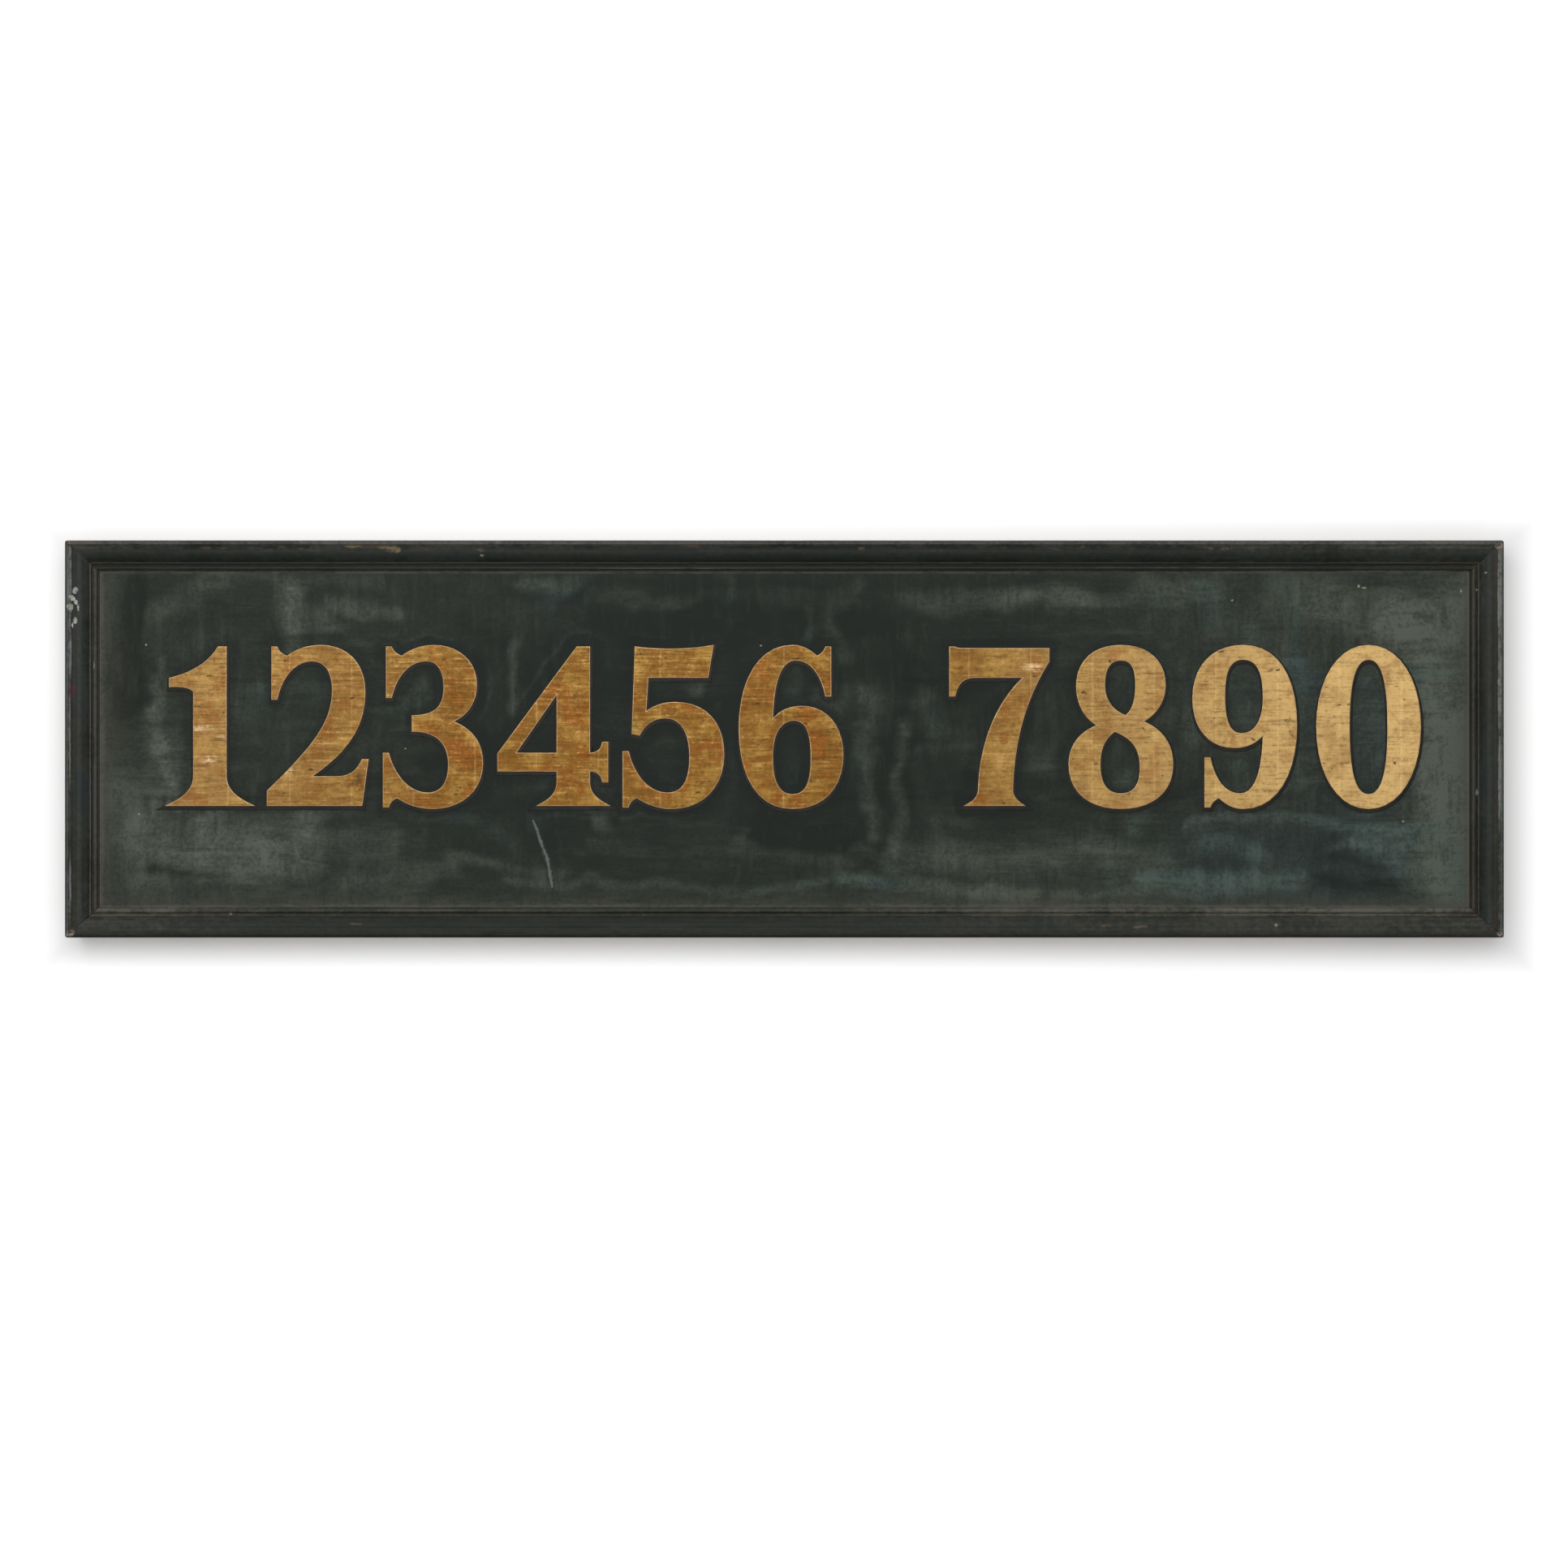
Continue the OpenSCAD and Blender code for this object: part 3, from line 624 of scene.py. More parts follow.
# Each outline is in hundredths of the numeral's height, from its lower left, as loops of corners (x, y) and
# of bends (handle x, y, handle x, y, corner x, y).
outlines = {
    "1": [[(5, 0), (60, 0), (51, 4, 43, 9, 43, 19), (43, 101), (38, 101), (32, 91, 21, 84.5, 6, 81), (6, 76),
          (14, 76.5, 19, 75.5, 22, 73), (22, 19), (22, 9, 14, 4, 5, 0)]],
    "2": [[(2, 0), (64, 0), (68, 29), (64.5, 29), (61, 21.5, 56, 18, 48, 18), (30, 18),
          (50, 31, 66, 47, 66, 72), (66, 91, 54, 102, 37, 102), (28, 102, 20, 99, 15, 95),
          (12, 96, 9, 98, 8, 101), (5, 101), (5, 68), (8, 68), (11, 82, 20, 92.5, 31, 92.5),
          (40, 92.5, 45, 86, 45, 73), (45, 53, 32, 37, 2, 9)]],
    "3": [[(5, 101), (8, 101), (9, 98, 12, 96, 15, 95), (20, 99, 28, 102, 36, 102),
          (52, 102, 64, 92, 64, 77), (64, 65, 57, 57, 48, 53.5), (60, 49, 68, 41, 68, 27),
          (68, 9, 54, -2, 35, -2), (26, -2, 18, 1, 12, 5), (9, 4, 7, 2, 6, -1), (3, -1), (3, 33), (6, 33),
          (10, 18, 20, 7.5, 32, 7.5), (41, 7.5, 46, 14, 46, 26), (46, 40, 38, 47.5, 22, 47.5), (22, 57),
          (37, 57, 43, 63, 43, 75), (43, 86, 39, 92.5, 31, 92.5), (20, 92.5, 11, 83, 8, 69), (5, 69)]],
    "4": [[(28, 0), (73, 0), (65, 4, 61, 8, 61, 15), (61, 22), (66, 22, 69, 20, 70, 15), (73, 15), (73, 40),
          (70, 40), (69, 35, 66, 33, 61, 33), (61, 101), (53, 101), (1, 33), (1, 22), (40, 22), (40, 15),
          (40, 8, 36, 4, 28, 0)], [(40, 33), (12, 33), (40, 72)]],
    "5": [[(10, 101), (24, 99, 46, 99, 61, 102), (57.5, 82), (18, 82), (16.5, 59),
          (21, 63, 28, 65.5, 36, 65.5), (56, 65.5, 68, 53, 68, 32), (68, 12, 54, -2, 34, -2),
          (25, -2, 17, 1, 11, 5), (8, 4, 6, 2, 5, -1), (2, -1), (2, 34), (5, 34), (9, 18, 19, 7.5, 31, 7.5),
          (41, 7.5, 46, 15, 46, 31), (46, 47, 40, 56, 29.5, 56), (21, 56, 15.5, 51, 12.5, 45), (8, 46)]],
    "6": [[(61, 101), (58, 101), (57, 98, 55, 96.5, 52, 95), (47, 99.5, 42, 102, 36, 102),
          (14, 102, 1, 80, 1, 49), (1, 17, 14, -2, 36, -2), (56, -2, 69, 11, 69, 32),
          (69, 51, 58, 63, 42, 63), (34, 63, 27, 60, 22.5, 54), (23, 79, 28, 93, 38, 93),
          (48, 93, 55, 84, 58, 70), (61, 70)], [(36, 6.5), (45, 6.5, 48.5, 14, 48.5, 30),
          (48.5, 47, 45, 54.5, 37, 54.5), (28, 54.5, 22.5, 46, 22.5, 31), (22.5, 14, 27, 6.5, 36, 6.5)]],
    "7": [[(3, 101), (6, 101), (7, 100.3, 9, 100, 12, 100), (68, 100), (68, 92), (55, 72, 45, 46, 44, 10),
          (44, 6, 46, 3, 51, 0), (14, 0), (20, 3, 22, 6, 22, 11), (23, 40, 34, 66, 52, 82), (20, 82),
          (12, 82, 8, 78.5, 6, 70), (3, 70)]],
    "8": [[(35, 102), (53, 102, 64, 92, 64, 77), (64, 66, 58, 58, 49, 53.5), (61, 49, 69, 40, 69, 26),
          (69, 8, 55, -2, 35, -2), (15, -2, 1, 8, 1, 26), (1, 39, 9, 47, 20, 51), (11, 56, 6, 65, 6, 76),
          (6, 92, 17, 102, 35, 102)], [(35, 93), (42, 93, 45, 88, 45, 77), (45, 65, 42, 59.5, 38, 57),
          (28, 61, 24, 68, 24, 77), (24, 88, 28, 93, 35, 93)], [(35, 7), (44, 7, 48, 13, 48, 24),
          (48, 36, 43, 43, 31, 47.5), (24, 43, 21, 36, 21, 26), (21, 13, 26, 7, 35, 7)]],
    "0": [[(34, 102), (54, 102, 68, 80, 68, 50), (68, 20, 54, -2, 34, -2), (14, -2, 0, 20, 0, 50),
          (0, 80, 14, 102, 34, 102)], [(34, 93.5), (43, 93.5, 47, 80, 47, 50), (47, 20, 43, 6.5, 34, 6.5),
          (25, 6.5, 21, 20, 21, 50), (21, 80, 25, 93.5, 34, 93.5)]],
}


def turnedOver(loops, width, height):
    size = (width, height) * 3
    return [[tuple(side - v for v, side in zip(step, size)) for step in loop] for loop in loops]


outlines["9"] = turnedOver(outlines["6"], 70, 100)


def numeralUnits():
    unit = numerals["height"] / 100
    return unit * numerals["squeeze"], unit


# Draws the loops as filled Bezier curves, grows them by some width and flattens the result to a thin leaf.
def traceNumeral(name, loops, origin, grow, front, material):
    unitX, unitZ = numeralUnits()
    curve = bpy.data.curves.new(name, "CURVE")
    curve.dimensions = "2D"
    curve.fill_mode = "BOTH"
    curve.resolution_u = numerals["curveSteps"]
    curve.bevel_depth = grow
    curve.bevel_resolution = numerals["rimSteps"]
    curve.extrude = numerals["drawnThickness"]

    def at(x, y):
        return Vector((x * unitX, y * unitZ, 0))

    for loop in loops:
        knots = []
        for step in loop:
            *handles, x, y = step
            knot = {"at": at(x, y)}
            if handles:
                knots[-1]["out"] = at(*handles[:2])
                knot["in"] = at(*handles[2:])
            knots.append(knot)
        if (knots[-1]["at"] - knots[0]["at"]).length < 1e-7:
            knots[0]["in"] = knots.pop().get("in")
        spline = curve.splines.new("BEZIER")
        spline.bezier_points.add(len(knots) - 1)
        spline.use_cyclic_u = True
        for i, knot in enumerate(knots):
            point = spline.bezier_points[i]
            point.co = knot["at"]
            before, after = knots[i - 1]["at"], knots[(i + 1) % len(knots)]["at"]
            point.handle_left_type = point.handle_right_type = "FREE"
            point.handle_left = knot.get("in") or knot["at"] + (before - knot["at"]) / 3
            point.handle_right = knot.get("out") or knot["at"] + (after - knot["at"]) / 3
    source = addToScene(name, curve)
    bpy.context.view_layer.update()
    mesh = bpy.data.meshes.new_from_object(source)
    bpy.data.objects.remove(source)
    deepest = max(abs(v.co.z) for v in mesh.vertices)
    for vertex in mesh.vertices:
        x, y, z = vertex.co
        vertex.co = (origin[0] + x, front - z / deepest * numerals["thickness"] / 2, origin[1] + y)
    mesh.materials.clear()
    mesh.materials.append(material)
    mesh.update()
    mesh.name = name
    return addToScene(name, mesh)


def layOutNumerals():
    unit = numeralUnits()[0]
    places = []
    for digits, left, right in numerals["groups"]:
        spans = []
        for digit in digits:
            xs = [x for loop in outlines[digit] for step in loop for x in step[::2]]
            spans.append((min(xs) * unit, max(xs) * unit))
        gap = (right - left - sum(b - a for a, b in spans)) / (len(digits) - 1)
        x = left
        for digit, (a, b) in zip(digits, spans):
            places.append((digit, x - a))
            x += b - a + gap
    return places


# Points along the outlines, about 2 mm apart, to measure the dark ground around the numerals from.
def outlinePoints(loops, origin):
    unitX, unitZ = numeralUnits()
    found = []
    for loop in loops:
        last = None
        for step in loop + loop[:1]:
            *handles, x, y = step
            if handles:
                a, b, c, d = last, handles[:2], handles[2:], (x, y)
                for t in np.linspace(0, 1, numerals["measuredSteps"]):
                    s = 1 - t
                    found.append([s ** 3 * a[k] + 3 * s ** 2 * t * b[k] + 3 * s * t * t * c[k] + t ** 3 * d[k]
                                  for k in (0, 1)])
            elif last:
                for t in np.linspace(0, 1, max(2, int(math.dist(last, step)))):
                    found.append([last[k] + (step[k] - last[k]) * t for k in (0, 1)])
            last = (x, y)
    return [(origin[0] + x * unitX, origin[1] + y * unitZ) for x, y in found]


# Gold leaf on its brown size: mottled orange and yellow, worn along the grain, paler to the right, partly as
# painted light, with painted glints.
giltLeaf = {
    "leaf": (0.205, 0.09, 0.01),
    "yellow": (0.285, 0.15, 0.025),
    "orange": (0.225, 0.074, 0.0055),
    "paleGold": (0.86, 0.57, 0.225),
    "size": (0.09, 0.04, 0.008),
    "rim": (0.49, 0.345, 0.185),
    "nick": (0.035, 0.024, 0.014),
    "leafWidth": 0.079,
    "bright": (0.92, 0.68, 0.36),
    # painted glints, highlights put into the leaf's colour: x, z, half width and half height in millimetres
    "glints": [
        (-748, 14, 22, 5.5), (-736, -27, 18, 8), (-716, 3, 12, 5), (-640, -40, 16, 7), (-498, 26, 13, 8),
        (-214, 64, 14, 6), (318, 92, 16, 6),
    ],
    "roughness": (0.34, 0.62),
    "gloss": 0.16,
    "relief": 0.00035,
    "metal": 0.35,
}


def makeGiltLeaf(name, rim=False):
    look = giltLeaf
    paint = Paint(name)
    streaks = paint.grain(0.0022, 4, 0.62, scale=(0.07, 1, 1))
    longStreaks = paint.grain(0.009, 5, 0.65, scale=(0.15, 1, 1), shift=(4, 0, 9))
    patches = paint.grain(0.045, 5, 0.62, 0.5)
    other = paint.grain(0.03, 5, 0.62, 0.3, shift=(8, 2, 5))
    fine = paint.grain(0.0042, 5, 0.7)
    paint.colour = patches.span(0.45, 0.57).blend(look["leaf"], look["yellow"])
    paint.coat(other.span(0.51, 0.62, 0, 0.85), look["orange"])
    # each leaf laps the next by a little and takes a slightly different tone
    x = paint.along(0)
    leafStep = (x + patches * 0.004) * (1 / look["leafWidth"])
    leafTone = (leafStep.maths("FLOOR") * 0.37).maths("FRACT")
    lap = leafStep.maths("FRACT").span(0.0, 0.05, 0.14, 0.0)
    # the leaf is paler towards the right-hand end, partly as painted light where the lamp is weaker there,
    # and paler at the first numeral
    lighterLeaf = (x.span(0.12, 0.92) + x.span(-0.36, -0.86, 0, 0.26)).clamped()
    lighterLeaf = lighterLeaf * ((1.0 - other).span(0.36, 0.56, 0.55, 0.92) + leafTone * 0.08)
    lighterLeaf = (lighterLeaf + (lap + patches.span(0.6, 0.72, 0, 0.18))).clamped()
    paint.coat(lighterLeaf, look["paleGold"])
    # worn: fine lines along the grain, speckle, and a few larger brown patches
    wear = streaks * 0.4 + (fine * 0.35 + longStreaks * 0.25)
    paint.coat(wear.span(0.47, 0.66, 0, 0.62), look["size"])
    paint.coat(wear.span(0.47, 0.36, 0, 0.22), look["paleGold"])
    worn = paint.grain(0.032, 5, 0.7, 0.4, scale=(0.8, 1, 1), shift=(1, 7, 4))
    paint.coat(worn.span(0.64, 0.72, 0, 0.7), look["size"])
    nicks = paint.grain(0.0075, 3, 0.6, scale=(0.45, 1, 1), shift=(2, 2, 2)).span(0.675, 0.71, 0, 0.8)
    paint.coat(nicks, look["nick"])
    # painted glints: bright highlights painted onto the leaf
    glints = paint.near(look["glints"], 0.004, 0.01, 0.5).span(0.0, 1.15, 0.62, 0)
    paint.coat(glints * (fine + streaks).span(0.85, 1.15, 1.0, 0.2), look["bright"])
    if rim:
        paint.coat(patches.span(0.35, 0.6, 0.75, 0.35), look["rim"])
    rough = wear.span(0.35, 0.65, *look["roughness"])
    return paint.finish(rough, look["gloss"], wear * -0.6 - nicks * 0.5, look["relief"], look["metal"])


shadePaint = {
    "colours": ((0.0052, 0.004, 0.0024), (0.015, 0.0105, 0.0055)),
    "roughness": 0.6,
    "gloss": 0.25,
    "relief": 0.0002,
}


def makeShadePaint():
    look = shadePaint
    paint = Paint("brown outline paint")
    paint.colour = paint.grain(0.02, 4).span(0.35, 0.7).blend(*look["colours"])
    streaks = paint.grain(0.003, scale=(0.1, 1, 1))
    return paint.finish(look["roughness"], look["gloss"], streaks, look["relief"])


def makeNumerals():
    leaf, rim, shade = makeGiltLeaf("gold leaf"), makeGiltLeaf("gold leaf rim", True), makeShadePaint()
    front = signSize["panelFront"]
    off = numerals["standOff"]
    # each layer's piece, how far it is grown and moved, how far it stands off the panel, and its material
    layers = [
        ("numeral", 0.0, (0, 0), off["leaf"], leaf),
        ("numeralRim", numerals["rimWidth"], (0, 0), off["rim"], rim),
        ("numeralShade", numerals["shadeWidth"], numerals["shadeShift"], off["shade"], shade),
    ]
    edges = []
    for digit, x in layOutNumerals():
        for name, grow, (shiftX, shiftZ), forward, material in layers:
            origin = (x + shiftX, numerals["baseline"] + shiftZ)
            piece = traceNumeral(name + digit, outlines[digit], origin, grow, front - forward, material)
            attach(piece, "root")
        edges += outlinePoints(outlines[digit], (x, numerals["baseline"]))
    print("numerals made:", len(edges), "outline points")
    return edges


# The painted ground on the panel. Wipes are chalky bloom, or dark gaps in it: points, half width, strength,
# blueness. Paler places are broad: middle x and z, reach along x and z, how much. Both are in millimetres.
ground = {
    "step": 0.003,
    "smoothBelow": 30,  # degrees
    # soft clouds over the ground: the size of the largest patch, a seed and how many layers
    "clouds": {
        "margin": (0.10, 3, 3), "marginFine": (0.020, 4, 3), "rimBreaks": (0.10, 8, 4),
        "warpX": (0.09, 21, 5), "warpZ": (0.09, 22, 5), "wipeEdge": (0.035, 33, 4),
        "wipeFine": (0.022, 34, 3), "broad": (0.20, 5, 5), "level": (0.05, 6, 4), "blue": (0.24, 9, 4),
        "drift": (0.10, 12, 4), "fine": (0.045, 51, 4),
    },
    "haloWidth": 0.012,
    "haloUneven": (1.9, 0.008),  # how far its edge wanders, broadly as a share and finely in metres
    "haloFade": (-0.0060, 0.0085),
    "haloRim": (0.0030, 0.0022),  # the paler line round it: how far out, how wide
    "haloRimBreaks": (0.02, 0.22),
    "haloRimBloom": 0.17,
    "haloRimBlue": 0.5,
    "haloHides": 0.58,  # how much bloom the fresh paint covers
    "levelStretch": 0.35,
    "warp": (0.060, 0.045),  # how far the wipes are bent along x and z
    "wipeSoft": (0.05, 1.45),  # where a wipe starts and ends to fade, in half widths
    "wipeRagged": 0.8,
    "wipeMottled": 0.7,
    "wipeLift": 1.22,  # paler wipes only
    "plainBlue": 0.25,  # the blueness of a wipe that leaves the ground as blue as it was
    "wipeBlue": 0.7,
    "edgeDust": (0.008, 0.012, 0.85),  # least reach in, how much more of it, how much
    "rightBloom": (0.30, 0.22, 0.030),  # how much, how much more at the top, how far in
    "footBloom": (0.08, 0.025),
    "jointWidth": 0.0016,
    "mostBlue": 0.72,
    "dark": (0.013, 0.0178, 0.0138),
    "darkBlue": (0.0122, 0.0185, 0.0172),
    "halo": (0.0112, 0.0156, 0.0128),
    "bloom": (0.116, 0.134, 0.108),
    "bloomBlue": (0.078, 0.114, 0.105),
    "dust": (0.064, 0.064, 0.049),
    "paleDust": (0.108, 0.109, 0.089),
    "pores": (0.007, 0.0095, 0.0072),
    "joint": (0.005, 0.006, 0.005),
    "flecks": (0.16, 0.17, 0.15),
    "chips": (0.34, 0.3, 0.2),
    "roughness": (0.6, 0.88),
    "gloss": 0.11,
    "relief": 0.0003,
    "standOff": 0.0002,
    "underFrame": 0.0004,  # how far its edges go under the moulding
    "boardEdge": 0.027,  # from the sign's top and bottom to the boards
    "rimLine": 0.0009,
    "evenness": 0.64,  # how much of the bloom's contrast is kept
    # dust along the moulding: how far it reaches in, how much, and how uneven it is
    "drifts": {"left": (0.020, 1.15, 0.5), "right": (0.008, 1.35, 0.5), "foot": (0.012, 1.05, 0.6)},
    # what changes across the panel: how much, and where the change starts and ends along x or z
    "bloomRamps": [
        (0.130, ("x", 0.05, 0.75)), (0.075, ("x", -0.15, -0.80)), (0.035, ("z", -0.08, -0.20)),
        (0.060, ("x", 0.15, 0.45), ("z", -0.07, -0.13)),
    ],
    "blueRamps": [
        (0.35, ("x", 0.35, 0.60), ("z", -0.07, -0.15)), (0.30, ("x", 0.30, 0.60), ("x", 0.84, 0.72)),
        (-0.12, ("x", -0.30, -0.60)), (-0.45, ("x", 0.20, 0.40), ("z", 0.06, 0.12)),
    ],
    "haloRamps": [(0.75, ("x", 0.25, 0.60)), (0.50, ("x", -0.35, -0.65))],
    "haloThins": [(0.45, ("x", 0.20, 0.45), ("z", -0.070, -0.088))],  # below the right group
    "paler": [
        (640, 40, 230, 120, 0.155), (-720, 20, 200, 300, 0.05), (-580, 10, 130, 90, 0.045),
        (-850, -130, 110, 110, 0.15), (-340, 170, 220, 50, 0.075), (0, 0, 500, 200, 0.018),
        (560, 165, 170, 50, 0.05), (840, -100, 60, 110, 0.08),
    ],
    "wipes": [
        ([(-738, -143), (-705, -150), (-672, -148)], 50, 0.85, 0.1),
        ([(-856, -70), (-838, -120), (-800, -160)], 44, 0.5, 0),
        ([(-798, 100), (-811, 33), (-808, -30), (-782, -76), (-752, -99)], 8, 0.55, 0.2),
        ([(-800, -20), (-790, -110)], 26, 0.35, 0.1), ([(-638, 186), (-636, 116)], 18, 0.75, 0.2),
        ([(-612, 150), (-600, 130)], 16, 0.35, 0.2),
        ([(-812, 160), (-760, 182), (-712, 198)], 22, 0.34, 0.1), ([(-690, 205), (-520, 200)], 9, 0.25, 0.1),
        ([(-592, 166), (-545, 172), (-498, 168)], 11, 0.6, 0.1), ([(-326, 197), (-286, 194)], 14, 0.4, 0.1),
        ([(-250, 180), (-120, 176)], 10, 0.22, 0.1), ([(-618, -58), (-606, -146)], 30, 0.5, 0.2),
        ([(-600, -110), (-515, -140)], 26, 0.32, 0.2), ([(-560, -178), (-420, -172)], 14, 0.35, 0.3),
        ([(-348, 112), (-348, 40)], 8, 0.4, 0.2), ([(-236, -48), (-231, -108)], 15, 0.45, 0.5),
        ([(-121, 98), (-119, 62)], 15, 0.4, 0.3), ([(-423, -157), (-277, -170)], 10, 0.3, 0.5),
        ([(-361, -184), (-150, -188), (35, -186)], 8, 0.4, 0.6),
        ([(160, 180), (270, 184), (380, 184)], 15, 0.4, 0.1), ([(285, 192), (451, 176)], 10, 0.25, 0.2),
        ([(462, 191), (555, 184)], 16, 0.45, 0.2), ([(99, 64), (103, -30), (103, -118)], 11, 0.34, 0.1),
        ([(152, 22), (146, -60), (136, -132)], 15, 0.42, 0.2), ([(58, 50), (60, -19)], 15, 0.22, 0.2),
        ([(54, 142), (71, 106)], 14, 0.28, 0.1), ([(439, -56), (441, -99)], 20, 0.45, 0.7),
        ([(61, -186), (180, -190), (305, -192)], 12, 0.6, 0.6),
        ([(446, -181), (560, -184), (665, -188)], 14, 0.8, 0.8), ([(337, -198), (535, -203)], 7, 0.5, 0.5),
        ([(129, -155), (300, -148), (482, -152)], 22, 0.38, 0.1), ([(-60, -140), (80, -150)], 16, 0.22, 0.2),
        ([(800, 120), (822, 50), (826, -20)], 56, 0.8, 0.1),
        ([(846, -10), (856, -100), (852, -190)], 34, 0.78, 0.1),
        ([(812, 0), (820, -60), (815, -110)], 26, 0.4, 0.3), ([(763, -118), (826, -178)], 30, 0.42, 0.3),
        ([(655, 180), (760, 165), (868, 168)], 40, 0.46, 0.1), ([(524, 78), (524, 5)], 14, 0.4, 0.3),
        ([(640, 92), (633, -38)], 22, 0.4, 0.5), ([(508, -111), (660, -107), (815, -104)], 7, 0.5, 0.5),
        ([(519, -134), (607, -150)], 14, 0.4, 0.9), ([(700, -135), (800, -128)], 8, 0.4, 0.6),
        ([(-840, 199), (-842, 120), (-838, 30)], 18, -0.45, 0), ([(-815, -165), (-770, -172)], 11, -0.7, 0),
        ([(659, -186), (774, -192)], 13, -0.36, 0.7), ([(700, -150), (760, -160)], 11, -0.22, 0.6),
        ([(-30, -125), (60, -118)], 18, -0.3, 0), ([(-200, 205), (60, 208)], 12, -0.25, 0),
        ([(150, 90), (150, -60)], 34, -0.16, 0), ([(-240, 150), (120, 146)], 26, -0.14, 0),
    ],
    "specks": [
        (-817, 121, 1.6, 1.6), (573, 178, 1.8, 1.2), (-880, 93, 1.2, 1.4), (792, -105, 1.6, 1.6),
        (-826, -96, 1.4, 1.6), (-485, -12, 1.4, 1), (-30, 120, 1.6, 1.2), (742, 194, 3.5, 1.2),
        (735, 196, 2, 2), (866, 190, 1.6, 2),
    ],
}


def makeGroundPaint():
    look = ground
    paint = Paint("old ground paint")
    bloom, blue, halo, dusty = (paint.painted(n) for n in ("bloom", "blue", "halo", "dust"))
    speckle = paint.grain(0.005, 6, 0.74)
    mottle = paint.grain(0.02, 6, 0.68, 0.4)
    broad = paint.grain(0.09, 5, 0.62, 0.8, scale=(0.6, 1, 1))
    brushed = paint.grain(0.011, 5, 0.66, 0.5, (0.12, 1, 1), (5, 1, 3), (0, 0.05, 0))
    upright = paint.grain(0.01, 5, 0.66, 0.4, (1, 1, 0.14), (2, 1, 8), (0, -0.05, 0))
    strokes = brushed + broad.span(0.46, 0.54) * (upright - brushed)
    lines = paint.grain(0.0022, 4, 0.66, scale=(0.05, 1, 1))
    paint.colour = (broad * 0.5 + blue * 0.5).span(0.32, 0.78).blend(look["dark"], look["darkBlue"])
    chalk = blue.span(0.15, 0.95).blend(look["bloom"], look["bloomBlue"])
    # the bloom breaks up into fine speckle and follows the brush
    broken = speckle * 0.42 + (mottle * 0.22 + strokes * 0.36)
    chalky = (bloom * broken.span(0.38, 0.62, 0.4, 1.35)).clamped()
    paint.coat(chalky, chalk)
    paint.coat((strokes * 0.6 + mottle * 0.4).span(0.5, 0.66, 0, 0.08), chalk)
    # cut in around the numerals with fresher, bluer paint
    paint.coat(halo * broken.span(0.42, 0.6, 0.6, 0.22), look["halo"])
    dust = dusty.span(0.7, 1.0, 0, 0.75).blend(look["dust"], look["paleDust"])
    paint.coat((dusty * broken.span(0.4, 0.6, 0.35, 1.0)).clamped(), dust)
    # a thin pale line all round, where a cloth has stopped short of the moulding
    inside = (sightX - abs(paint.along(0))).maths("MINIMUM", sightZ - abs(paint.along(2)))
    rim = abs(inside - look["rimLine"]).span(0.0006, 0.0021, 1, 0)
    paint.coat(rim * (mottle + broad).span(0.85, 1.1, 0.1, 0.5), look["paleDust"])
    paint.coat(lines.span(0.56, 0.72, 0, 0.3), look["pores"])
    paint.coat(speckle.span(0.42, 0.26, 0, 0.35), look["pores"])
    # board joints show through in places
    joint = paint.painted("boardJoint") * paint.grain(0.06, 3, scale=(1, 1, 0.02)).span(0.5, 0.6, 0, 0.5)
    paint.coat(joint, look["joint"])
    paint.coat(paint.grain(0.0042, 2, 0.5, shift=(1, 5, 2)).span(0.775, 0.8, 0, 0.4), look["flecks"])
    paint.coat(paint.near(look["specks"], 0.0008, 0.004).span(0.7, 1.05, 0.85, 0), look["chips"])
    rough = (mottle * 0.5 + chalky * 0.6).span(0.15, 0.85, *look["roughness"])
    return paint.finish(rough, look["gloss"], lines * 0.5 + (speckle * 0.4 - joint * 0.8), look["relief"])


# Faint wipes all over, mostly level or upright, as a cloth leaves them. Lengths are in millimetres.
strayWipe = {
    "count": 100,
    "seed": 17,
    "turns": [0.0, 0.0, 1.5, 1.6, 0.5, 2.6],  # radians up from level
    "turnSpread": 0.15,
    "reach": (18, 75),
    "width": (6, 20),
    "bend": 5,
    "strengths": [0.07, 0.10, 0.13, 0.18, -0.10],
    "blueness": [0.0, 0.2, 0.5, 0.8],
}


def makeStrayWipes(halfX, halfZ):
    stray = strayWipe
    maker = np.random.default_rng(stray["seed"])
    wipes = []
    for _ in range(stray["count"]):
        x, z = maker.uniform(-halfX, halfX) * 1000, maker.uniform(-halfZ, halfZ) * 1000
        turn = maker.choice(stray["turns"]) + maker.normal(0, stray["turnSpread"])
        reach, width = maker.uniform(*stray["reach"]), maker.uniform(*stray["width"])
        reachX, reachZ = reach * math.cos(turn), reach * math.sin(turn)
        line = [(x - reachX, z - reachZ), (x, z + maker.normal(0, stray["bend"])), (x + reachX, z + reachZ)]
        strength = maker.choice(stray["strengths"])
        wipes.append((line, width, strength, maker.choice(stray["blueness"])))
    return wipes


# Adds up changes across a field, each a height times its eased steps along x or z.
def ramps(x, z, changes):
    total = np.zeros_like(x)
    for amount, *steps in changes:
        for axis, start, end in steps:
            amount = amount * smooth(start, end, x if axis == "x" else z)
        total += amount
    return total


